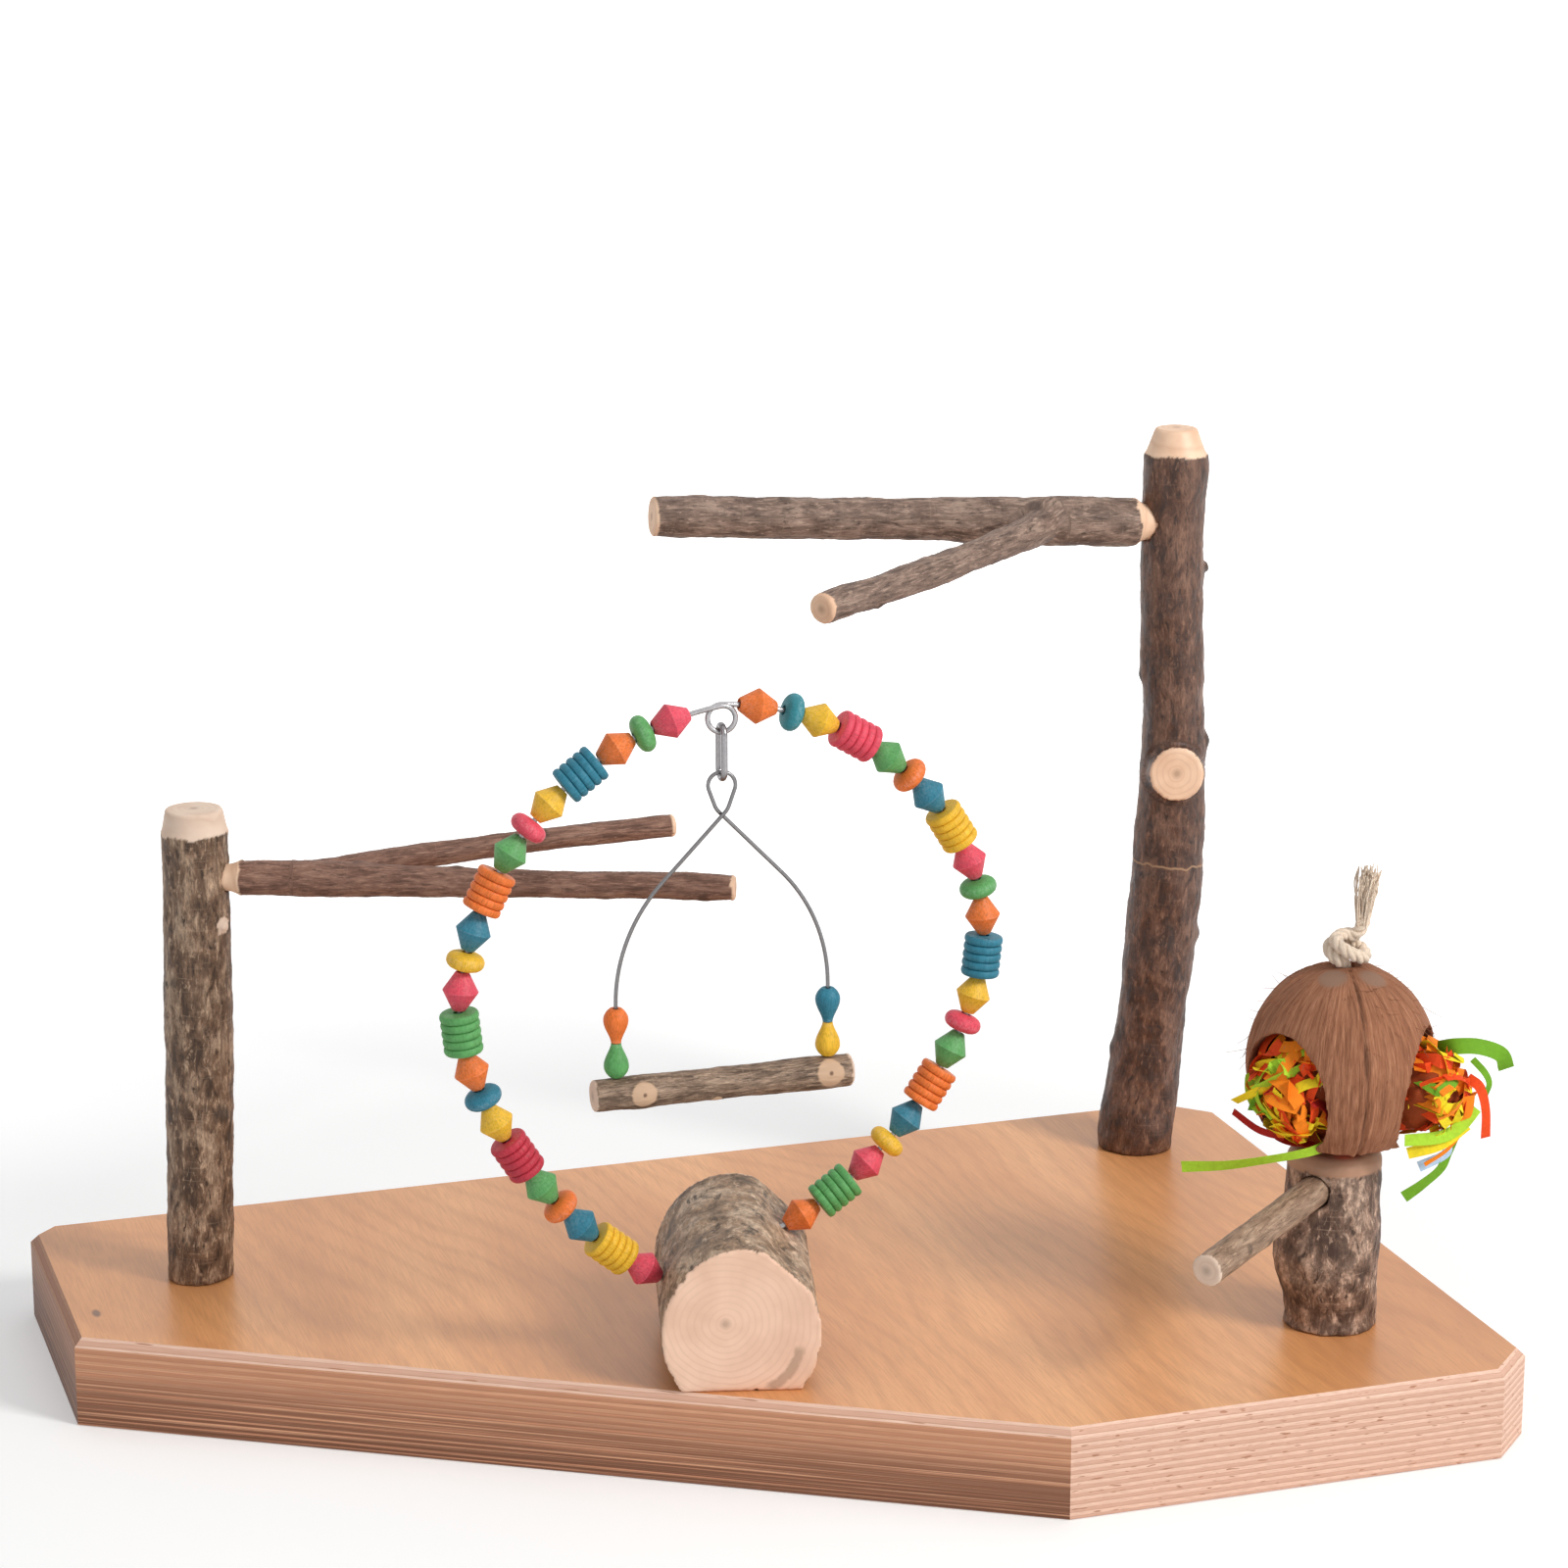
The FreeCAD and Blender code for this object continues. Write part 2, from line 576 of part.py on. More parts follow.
def rope():
    """Rope from its hole in the stump through the crown, knotted there, with a frayed tail."""
    radius = size("rope_radius")
    bottom = ROPE_AXIS + UP * (STUMP_TOP.z - size("rope_hole_depth") + size("glue_fit"))
    crown = COCONUT.z + size("shell_half_height") + size("rest_gap")
    run = cylinder("rope_run", cell("rope_radius"), crown - bottom.z + size("knot_height") / 2, bottom, UP)
    wide = size("knot_width") / 2
    high = size("knot_height") / 2
    middle = ROPE_AXIS + Vector(size("knot_shift"), 0, crown + high)
    turns = []
    for name, lift, tilt in (("low", -0.42, 4), ("high", 0.38, -9)):
        ring = add("Part::Torus", "knot_" + name, Radius1=wide - radius - 0.6, Radius2=radius + 0.6)
        ring.Placement = Placement(middle + UP * (high * lift), Rotation(Vector(0, 1, 0), tilt))
        turns.append(ring)
    heart = ellipsoid("knot_heart", wide * 0.7, high * 0.9, middle)
    flat_base = cylinder("knot_base", wide * 2, high * 2, Vector(middle.x, middle.y, crown - high * 2), UP)
    knot = cut("rope_knot", fuse("knot_turns", turns + [heart]), [flat_base])
    tail_way = Rotation(Vector(0, 1, 0), size("tail_tilt")).multVec(UP)
    tail = cone("rope_tail", radius + 0.6, cell("tail_spread"), cell("tail_length"),
                ROPE_AXIS + Vector(size("tail_shift"), 0, crown + high * 1.7), tail_way)
    return fuse("cotton_rope", [run, knot, tail])


node("coconut_shell", shell())
node("paper_stuffing", stuffing())
node("cotton_rope", rope())


# ---------------------------------------------------------------- ring wire

def scrape_distance():
    """Distance from the log's axis to the flat that is scraped off its upper right side."""
    lean = math.radians(size("scrape_angle"))
    bark = math.hypot(size("log_half_width") * math.cos(lean), size("log_half_height") * math.sin(lean))
    return bark - size("scrape_depth")


LOWER_TURN = 1.0  # radians: more than the last arc needs to reach the log


class Strand:
    """One side of the ring: arcs joined end to end, from the eye down to the log.

    Points are (side, height) in the ring's plane: side grows away from the eye's centre
    line and height is taken from the board's top."""

    def __init__(self, side):
        self.side = side
        sign = side + "_"
        self.mirror = -1 if side == "left" else 1
        slope = math.radians(size(sign + "start_slope"))
        eye = size("eye_radius")
        self.start = (eye * math.sin(slope), size("eye_height") + eye * math.cos(slope))
        self.arcs = []
        point, heading = self.start, -slope
        bends = [(size(sign + "shoulder_radius"), math.radians(size(sign + "shoulder_turn"))),
                 (size(sign + "side_radius"), math.radians(size(sign + "side_turn"))),
                 (size(sign + "lower_radius"), LOWER_TURN)]
        travelled = 0
        for radius, turn in bends:
            centre = (point[0] + radius * math.sin(heading), point[1] - radius * math.cos(heading))
            self.arcs.append((travelled, centre, radius, heading))
            travelled += radius * turn
            heading -= turn
            point = (centre[0] - radius * math.sin(heading), centre[1] + radius * math.cos(heading))

    def at(self, distance):
        """Point and heading at a distance along the wire from the eye."""
        chosen = [arc for arc in self.arcs if arc[0] <= max(distance, 0)][-1]
        begin, centre, radius, heading = chosen
        turned = heading - (distance - begin) / radius
        return (centre[0] - radius * math.sin(turned),
                centre[1] + radius * math.cos(turned)), turned

    def world(self, flat_point):
        """Place in space; the two sides lie one wire apart in depth, as the coil leaves them."""
        depth = (size("ring_wire_radius") + size("coil_gap") / 2) * self.mirror
        return Vector(size("ring_x") + self.mirror * flat_point[0], size("ring_y") + depth,
                      TOP + flat_point[1])

    def direction(self, heading):
        return Vector(self.mirror * math.cos(heading), 0, math.sin(heading))

    def outside_log(self, distance, lateral):
        """How far a point beside the wire is from the log's bark; negative is inside."""
        (side, height), heading = self.at(distance)
        point = self.world((side - lateral * math.sin(heading), height + lateral * math.cos(heading)))
        skew = abs(math.sin(math.radians(size("log_angle"))))
        axis_x = size("log_x") + (point.y - size("log_y")) / math.tan(math.radians(size("log_angle")))
        wide = size("log_half_width") / skew
        across = (point.x - axis_x) / wide
        upright = (point.z - TOP - size("log_centre_height")) / size("log_half_height")
        bark = (math.hypot(across, upright) - 1) * min(wide, size("log_half_height"))
        if self.side == "left":
            return bark
        lean = math.radians(size("scrape_angle"))
        scraped = ((point.x - axis_x) * skew * math.cos(lean)
                   + (point.z - TOP - size("log_centre_height")) * math.sin(lean) - scrape_distance())
        return max(bark, scraped)

    def bark_distance(self, lateral, clearance):
        """Distance along the wire at which it comes this close to the bark."""
        low, high = self.arcs[2][0], self.arcs[2][0] + self.arcs[2][2] * LOWER_TURN
        for _ in range(60):
            middle = (low + high) / 2
            if min(self.outside_log(middle, lateral), self.outside_log(middle, -lateral)) > clearance:
                low = middle
            else:
                high = middle
        return low

    def edges(self, first, last):
        """Arc edges of the wire between two distances from the eye."""
        marks = [first] + [arc[0] for arc in self.arcs if first < arc[0] < last] + [last]
        made = []
        for begin, end in zip(marks, marks[1:]):
            points = [self.at(begin)[0], self.at((begin + end) / 2)[0], self.at(end)[0]]
            made.append(Part.Arc(*[self.world(point) for point in points]).toShape())
        return made


def sweep(name, edges, radius):
    """Round wire of one radius along a path of arcs and straight runs."""
    path = doc.addObject("Part::Feature", name + "_path")
    path.Shape = Part.Wire(edges)
    first = edges[0]
    start = first.valueAt(first.FirstParameter)
    way = first.tangentAt(first.FirstParameter)
    if (start - path.Shape.Vertexes[0].Point).Length > 1e-3:
        start = first.valueAt(first.LastParameter)
        way = first.tangentAt(first.LastParameter).negative()
    section = add("Part::Circle", name + "_section", Radius=radius)
    section.Placement = Placement(start, facing(way))
    return add("Part::Sweep", name, Sections=[section], Solid=True, Frenet=False,
               Spine=(path, ["Edge%d" % (k + 1) for k in range(len(edges))]))


def biarc(start, way_start, end, way_end):
    """Two arcs that join two points and keep both directions."""
    gap = end - start
    ways = way_start + way_end
    bend = 2 * (1 - way_start.dot(way_end))
    reach = (math.sqrt(gap.dot(ways) ** 2 + bend * gap.dot(gap)) - gap.dot(ways)) / bend
    joint = (start + way_start * reach + end - way_end * reach) * 0.5
    made = []
    for first, corner, last in ((start, start + way_start * reach, joint),
                                (joint, end - way_end * reach, end)):
        middle = (first + last) * 0.5
        lean = (last - first).Length / 2 / reach
        made.append(Part.Arc(first, middle + (corner - middle) * (lean / (1 + lean)), last).toShape())
    return made


def coil_edges(left, right):
    """One turn of wire that makes the eye, from the left strand over to the right one."""
    start_angle = math.radians(90 + size("left_start_slope"))
    end_angle = math.radians(90 - size("right_start_slope")) - 2 * math.pi
    sweep_angle = end_angle - start_angle
    steps = 6
    radius = size("eye_radius")
    half_depth = size("ring_wire_radius") + size("coil_gap") / 2

    def point(share):
        angle = start_angle + sweep_angle * share
        depth = half_depth * (2 * (share - math.sin(2 * math.pi * share) / (2 * math.pi)) - 1)
        return Vector(size("ring_x") + radius * math.cos(angle), size("ring_y") + depth,
                      TOP + size("eye_height") + radius * math.sin(angle))

    def way(share):
        angle = start_angle + sweep_angle * share
        rise = half_depth * 2 * (1 - math.cos(2 * math.pi * share))
        return Vector(-radius * math.sin(angle) * sweep_angle, rise,
                      radius * math.cos(angle) * sweep_angle).normalize()

    points = [left.world(left.start)] + [point(k / steps) for k in range(1, steps)]
    points.append(right.world(right.start))
    made = []
    for k in range(steps):
        made += biarc(points[k], way(k / steps), points[k + 1], way((k + 1) / steps))
    return made


LEFT = Strand("left")
RIGHT = Strand("right")


def ring_ends(strand):
    """Where the wire meets the bark and where it ends inside the log."""
    bark = strand.bark_distance(0, 0)
    return bark, bark + size("wire_depth_in_log")


def ring_wire():
    left_edges = LEFT.edges(0, ring_ends(LEFT)[1])
    right_edges = RIGHT.edges(0, ring_ends(RIGHT)[1])
    backwards = []
    for edge in reversed(left_edges):
        middle = (edge.FirstParameter + edge.LastParameter) / 2
        backwards.append(Part.Arc(edge.valueAt(edge.LastParameter), edge.valueAt(middle),
                                  edge.valueAt(edge.FirstParameter)).toShape())
    return sweep("ring_wire", backwards + coil_edges(LEFT, RIGHT) + right_edges,
                 cell("ring_wire_radius"))


def wire_hole(strand):
    """Hole that takes one end of the ring wire in the log."""
    bark, end = ring_ends(strand)
    route = strand.edges(bark - size("wire_depth_in_log"), end + size("glue_fit"))
    return sweep(strand.side + "_wire_hole", route, cell("ring_wire_radius") + " + " + cell("glue_fit"))


def ring_log():
    """Log: an upright oval pushed along its axis and sawn flat where it stands."""
    along = flat(size("log_angle"))
    start = on_board("log_x", "log_y", size("log_centre_height")) - along * (size("log_length") / 2)
    frame = Rotation(UP.cross(along), UP, along, "ZXY")
    outline = add("Part::Ellipse", "log_outline", MajorRadius=cell("log_half_height"),
                  MinorRadius=cell("log_half_width"))
    outline.Placement = Placement(start, frame.multiply(Rotation(UP, 90)))
    round_log = add("Part::Extrusion", "round_log", Base=outline, Solid=True,
                    LengthFwd=cell("log_length"))
    round_log.DirMode = "Custom"
    round_log.Dir = along
    room = size("log_length") + size("log_half_width")
    saw = add("Part::Box", "log_saw", Length=2 * room, Width=2 * room, Height=room)
    saw.Placement = Placement(Vector(size("log_x") - room, size("log_y") - room, TOP - room), Rotation())
    right = along.cross(UP)
    lean = math.radians(size("scrape_angle"))
    outward = right * math.cos(lean) + UP * math.sin(lean)
    half_width = size("log_half_width")
    scrape = add("Part::Box", "log_scrape", Length=size("log_length") + 2 * OVERCUT,
                 Width=2 * half_width, Height=half_width)
    scrape.Placement = Placement(start + outward * scrape_distance() - along * OVERCUT
                                 + along.cross(outward) * half_width,
                                 Rotation(along, along.cross(outward).negative(), outward, "ZXY"))
    tools = [saw, scrape, wire_hole(LEFT), wire_hole(RIGHT), PILOTS["log_front"], PILOTS["log_back"]]
    return cut("ring_log", round_log, tools)


node("ring_wire", ring_wire())
node("ring_log", ring_log())


# ---------------------------------------------------------------- ring beads

def turned(name, profile, sides):
    """Closed (radius, height) profile turned about Z with flat sides."""
    rings = []
    for radius, height in profile:
        rings.append([Vector(radius * math.cos(2 * math.pi * k / sides),
                             radius * math.sin(2 * math.pi * k / sides), height)
                      for k in range(sides)])
    faces = []
    for ring, following in zip(rings, rings[1:] + rings[:1]):
        for k in range(sides):
            after = (k + 1) % sides
            corners = [ring[k], ring[after], following[after], following[k]]
            faces.append(Part.Face(Part.makePolygon(corners + corners[:1])))
    solid = Part.Solid(Part.Shell(faces))
    if solid.Volume < 0:
        solid.reverse()
    made = doc.addObject("Part::Feature", name)
    made.Shape = solid
    return made


def cone_bead():
    half, bore = size("cone_bead_length") / 2, size("bead_bore_radius")
    end = size("bead_end_radius")
    return [(bore, -half), (end, -half), (size("cone_bead_radius"), 0), (end, half), (bore, half)]


def disc_bead():
    half, bore = size("disc_bead_length") / 2, size("bead_bore_radius")
    rim, end = size("disc_bead_radius"), size("bead_end_radius")
    edge = half * 0.22
    return [(bore, -half), (end, -half), (rim, -edge), (rim, edge), (end, half), (bore, half)]


def barrel_bead():
    """Barrel with V grooves between its ribs."""
    half, bore = size("barrel_bead_length") / 2, size("bead_bore_radius")
    crest = size("barrel_bead_radius")
    valley = crest - size("rib_groove_depth")
    ribs = int(size("barrel_ribs"))
    pitch = 2 * half / ribs
    profile = [(bore, -half)]
    for k in range(ribs):
        low = -half + pitch * k
        profile += [(crest, low + pitch * (0.2 if k else 0)),
                    (crest, low + pitch * (0.8 if k < ribs - 1 else 1))]
        if k < ribs - 1:
            profile.append((valley, low + pitch))
    return profile + [(bore, half)]


BEAD_PROFILES = {"cone": cone_bead, "disc": disc_bead, "barrel": barrel_bead}
BEAD_ORDER = ["cone", "disc", "cone", "barrel"] * 5 + ["cone"]


def bead_distances(strand):
    """Bead centres along one side, stacked upwards from the bark of the log."""
    lengths = [size(kind + "_bead_length") for kind in BEAD_ORDER]
    foot = strand.bark_distance(size("bead_end_radius"), size("rest_gap"))
    spacing = size("bead_spacing")
    distances = [0] * len(lengths)
    reached = foot
    for index in range(len(lengths) - 1, -1, -1):
        distances[index] = reached - lengths[index] / 2
        reached -= lengths[index] + spacing
    if strand.side == "right":
        distances[0] = size("loose_bead_place")
    return distances


def ring_beads(strand):
    for index, distance in enumerate(bead_distances(strand)):
        name = "%s_bead_%02d" % (strand.side, index + 1)
        bead = turned(name, BEAD_PROFILES[BEAD_ORDER[index]](), int(size("bead_sides")))
        point, heading = strand.at(distance)
        bead.Placement = Placement(strand.world(point), facing(strand.direction(heading)))
        node(name, bead)


ring_beads(LEFT)
ring_beads(RIGHT)


# ---------------------------------------------------------------- chain link

EYE_FLOOR = TOP + size("eye_height") - size("eye_radius")
LINK_TOP = EYE_FLOOR + size("ring_wire_radius") + size("link_wire_radius") + size("link_slack")
LINK_BOTTOM = LINK_TOP - size("link_length") + 2 * size("link_wire_radius")


def chain_link():
    """Oval link that hangs in the eye; its plane stands across the ring."""
    bow = size("link_bow_radius")
    wire = cell("link_wire_radius")
    upper = Vector(size("ring_x"), size("ring_y"), LINK_TOP - bow)
    lower = Vector(size("ring_x"), size("ring_y"), LINK_BOTTOM + bow)
    across = Vector(0, bow, 0)
    pieces = []
    for name, centre, turn in (("upper", upper, 0), ("lower", lower, 180)):
        half = add("Part::Torus", "link_" + name, Radius1=cell("link_bow_radius"), Radius2=wire,
                   Angle3=180)
        upright = Rotation(Vector(0, 1, 0), UP, Vector(1, 0, 0), "ZXY")
        half.Placement = Placement(centre, Rotation(Vector(1, 0, 0), turn).multiply(upright))
        pieces.append(half)
    for name, side in (("front", across.negative()), ("back", across)):
        pieces.append(cylinder("link_" + name, wire, upper.z - lower.z, lower + side, UP))
    return fuse("chain_link", pieces)


node("chain_link", chain_link())


# ---------------------------------------------------------------- swing

LOOP_TOP = LINK_BOTTOM + size("link_wire_radius") + size("swing_wire_radius") + size("link_slack")
SWING_PERCH_Z = LOOP_TOP - size("swing_perch_drop")


def rounded_path(points, radii):
    """Straight runs between points, joined by tangent arcs at the inner points."""
    made = []
    reached = points[0]
    for index in range(1, len(points) - 1):
        before = (points[index - 1] - points[index]).normalize()
        after = (points[index + 1] - points[index]).normalize()
        turn = math.pi - before.getAngle(after)
        trim = radii[index - 1] * math.tan(turn / 2)
        start, end = points[index] + before * trim, points[index] + after * trim
        inward = (before + after).normalize()
        centre = points[index] + inward * (radii[index - 1] / math.cos(turn / 2))
        middle = centre - inward * radii[index - 1]
        if (start - reached).Length > 1e-4:
            made.append(Part.LineSegment(reached, start).toShape())
        made.append(Part.Arc(start, middle, end).toShape())
        reached = end
    made.append(Part.LineSegment(reached, points[-1]).toShape())
    return made


def swing_wire():
    """One wire: up one leg, across itself, round the teardrop loop and down the other leg."""
    half = size("swing_half_spacing")
    slope = math.radians(size("swing_leg_slope"))
    loop = size("loop_radius")
    loop_slope = math.radians(size("loop_slope"))
    centre_z = LOOP_TOP - loop
    crossing = LOOP_TOP - size("loop_drop")
    corner_z = crossing - half / math.tan(slope)
    bend_z = ((loop + math.cos(loop_slope) * math.tan(slope) * crossing
               - math.sin(loop_slope) * centre_z)
              / (math.cos(loop_slope) * math.tan(slope) - math.sin(loop_slope)))
    bend_x = (bend_z - crossing) * math.tan(slope)
    top_x = loop * math.tan((math.pi / 2 + loop_slope) / 2)
    foot = SWING_PERCH_Z + size("swing_perch_radius") - size("leg_depth_in_perch")
    offset = size("cross_offset")
    route = [(-half, 0, foot), (-half, 0, corner_z), (bend_x, -offset, bend_z),
             (top_x, -offset, LOOP_TOP), (-top_x, offset, LOOP_TOP), (-bend_x, offset, bend_z),
             (half, 0, corner_z), (half, 0, foot)]
    points = [Vector(size("ring_x") + x, size("ring_y") + y, z) for x, y, z in route]
    snug = 0.985  # keeps a short straight run between the two arcs of the loop's top
    radii = [size("swing_shoulder_radius"), size("loop_bend_radius"), loop * snug, loop * snug,
             size("loop_bend_radius"), size("swing_shoulder_radius")]
    return sweep("swing_wire", rounded_path(points, radii), cell("swing_wire_radius"))


def leg(side):
    return Vector(size("ring_x") + side * size("swing_half_spacing"), size("ring_y"), SWING_PERCH_Z)


def swing_perch():
    """Short round branch, level, with a hole for each leg of the wire."""
    half, radius = size("swing_perch_length") / 2, size("swing_perch_radius")
    bevel = size("bevel_of_sawn_ends")
    middle = Vector(size("ring_x"), size("ring_y"), SWING_PERCH_Z)
    shares = [(-1, 0.97), (-0.6, 1.02), (-0.1, 0.97), (0.4, 1.0), (0.75, 1.03), (1, 0.98)]
    stations = [(middle + Vector((half - bevel) * share, 0, 0), radius * wide) for share, wide in shares]
    pieces = [loft("swing_branch", stations)]
    for side, wide in ((-1, 0.97), (1, 0.98)):
        pieces.append(cone("swing_end_%d" % (side + 2), radius * wide, radius * wide - bevel, bevel,
                           middle + Vector(side * (half - bevel), 0, 0), Vector(side, 0, 0)))
    holes = [cylinder("leg_hole_%d" % (side + 2), cell("swing_wire_radius") + " + " + cell("glue_fit"),
                      2 * size("leg_depth_in_perch"),
                      leg(side) + UP * (radius - size("leg_depth_in_perch") - size("glue_fit")), UP)
             for side in (-1, 1)]
    return cut("swing_perch", fuse("swing_perch_wood", pieces), holes)


def drop_bead():
    """Outline of a drop bead: a narrow neck below and a fat round end above."""
    length, radius = size("drop_bead_length"), size("drop_bead_radius")
    neck, bore = size("drop_bead_neck"), size("drop_bead_bore")
    return [(bore, 0), (neck, 0), (radius * 0.82, length * 0.4), (radius, length * 0.66),
            (radius * 0.8, length * 0.9), (neck, length), (bore, length)]


def swing_beads(side, name):
    """Two drop beads strung on one leg, the fat ends outwards: the lower neck up, the upper neck down."""
    seat = leg(side) + UP * (size("swing_perch_radius") * 1.03 + size("rest_gap"))
    length = size("drop_bead_length")
    profile = drop_bead()
    lower = turned(name + "_lower", [(radius, length - height) for radius, height in reversed(profile)],
                   int(size("bead_sides")))
    lower.Placement = Placement(seat, Rotation())
    upper = turned(name + "_upper", profile, int(size("bead_sides")))
    upper.Placement = Placement(seat + UP * (length + size("rest_gap")), Rotation())
    return node(name, add("Part::Compound", name, Links=[lower, upper]))


node("swing_wire", swing_wire())
node("swing_perch", swing_perch())
swing_beads(-1, "left_swing_beads")
swing_beads(1, "right_swing_beads")

# ---------------------------------------------------------------- checks and files

doc.recompute()
failed = [item for item in doc.Objects if {"Invalid", "Error"} & set(item.State)]
if failed:
    raise RuntimeError("failed: " + ", ".join(
        "%s (%s)" % (item.Name, item.getStatusString()) for item in failed))

os.makedirs("parts", exist_ok=True)
for name, feature in nodes.items():
    shape = feature.Shape
    if shape.isNull() or not shape.isValid() or not shape.Solids:
        raise RuntimeError("bad shape: " + name)
    shape.exportStep("parts/%s.step" % name)
    print("%-22s solids %d  volume %.1f" % (name, len(shape.Solids), shape.Volume))
print(len(nodes), "nodes")
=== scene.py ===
import bpy
import json
from math import cos, pi, radians, sin
import numpy as np
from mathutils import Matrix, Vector
from numpy.linalg import norm


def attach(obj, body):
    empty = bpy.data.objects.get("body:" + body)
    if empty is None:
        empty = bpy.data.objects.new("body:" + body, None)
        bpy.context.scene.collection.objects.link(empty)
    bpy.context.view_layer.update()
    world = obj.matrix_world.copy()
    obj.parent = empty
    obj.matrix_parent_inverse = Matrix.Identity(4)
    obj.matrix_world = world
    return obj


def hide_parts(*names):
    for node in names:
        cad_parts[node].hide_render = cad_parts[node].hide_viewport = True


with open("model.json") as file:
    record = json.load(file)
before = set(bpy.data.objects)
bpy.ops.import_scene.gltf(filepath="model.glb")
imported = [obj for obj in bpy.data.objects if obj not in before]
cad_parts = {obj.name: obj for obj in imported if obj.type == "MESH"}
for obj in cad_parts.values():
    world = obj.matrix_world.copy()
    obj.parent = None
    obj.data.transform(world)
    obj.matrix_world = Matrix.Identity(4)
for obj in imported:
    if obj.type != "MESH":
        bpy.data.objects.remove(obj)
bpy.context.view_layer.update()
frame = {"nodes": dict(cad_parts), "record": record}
NODES = frame["nodes"]
MM = 0.001
UP = np.array([0, 0, 1.0])
bpy.context.scene.view_settings.view_transform = "Standard"


def put(name, data):
    """A new object in the scene."""
    made = bpy.data.objects.new(name, data)
    bpy.context.scene.collection.objects.link(made)
    return made


# ---- camera and light

def add_camera():
    """The photograph's viewpoint: in front, to the left, looking down 14.7 degrees."""
    data = bpy.data.cameras.new("camera")
    camera = put("camera", data)
    azimuth, elevation = radians(-18.13), radians(14.69)
    back = Vector((sin(azimuth) * cos(elevation), -cos(azimuth) * cos(elevation), sin(elevation)))
    camera.location = Vector((-525.1, -1646.5, 730.4)) * MM
    camera.rotation_euler = back.to_track_quat("Z", "Y").to_euler()
    data.sensor_width = 36
    data.lens = 94.0
    data.clip_end = 20
    bpy.context.scene.camera = camera


def add_area(name, place, aim, wide, watts, colour=(1, 1, 1)):
    data = bpy.data.lights.new(name, "AREA")
    data.size = wide
    data.energy = watts
    data.color = colour
    light = put(name, data)
    light.location = place
    light.rotation_euler = (Vector(place) - Vector(aim)).to_track_quat("Z", "Y").to_euler()


def add_lights():
    middle = (0, 0, 0.15)
    add_area("key", (1.55, -1.9, 1.85), middle, 0.8, 56, (1.0, 0.985, 0.96))
    add_area("fill", (-1.8, -1.6, 1.1), middle, 1.6, 4)
    add_area("top", (0.0, 0.7, 2.4), middle, 1.8, 8)
    world = bpy.data.worlds.new("studio")
    bpy.context.scene.world = world
    world.use_nodes = True
    nodes, links = world.node_tree.nodes, world.node_tree.links
    nodes.clear()
    out = nodes.new("ShaderNodeOutputWorld")
    mix = nodes.new("ShaderNodeMixShader")
    links.new(seen_share(nodes, links), mix.inputs[0])
    # the soft light that the stand gets, then the white that is seen behind it
    for k, (colour, strength) in enumerate((((0.98, 0.99, 1, 1), 0.47), ((1, 1, 1, 1), 1.0))):
        glow = nodes.new("ShaderNodeBackground")
        glow.inputs["Color"].default_value = colour
        glow.inputs["Strength"].default_value = strength
        links.new(glow.outputs[0], mix.inputs[1 + k])
    links.new(mix.outputs[0], out.inputs["Surface"])


def seen_share(nodes, links):
    """1 for rays that show the backdrop: from the camera, a mirror or glass."""
    rays = nodes.new("ShaderNodeLightPath")
    total = rays.outputs["Is Camera Ray"]
    for name in ("Is Glossy Ray", "Is Transmission Ray"):
        larger = nodes.new("ShaderNodeMath")
        larger.operation = "MAXIMUM"
        links.new(total, larger.inputs[0])
        links.new(rays.outputs[name], larger.inputs[1])
        total = larger.outputs[0]
    return total


# ---- shader helpers

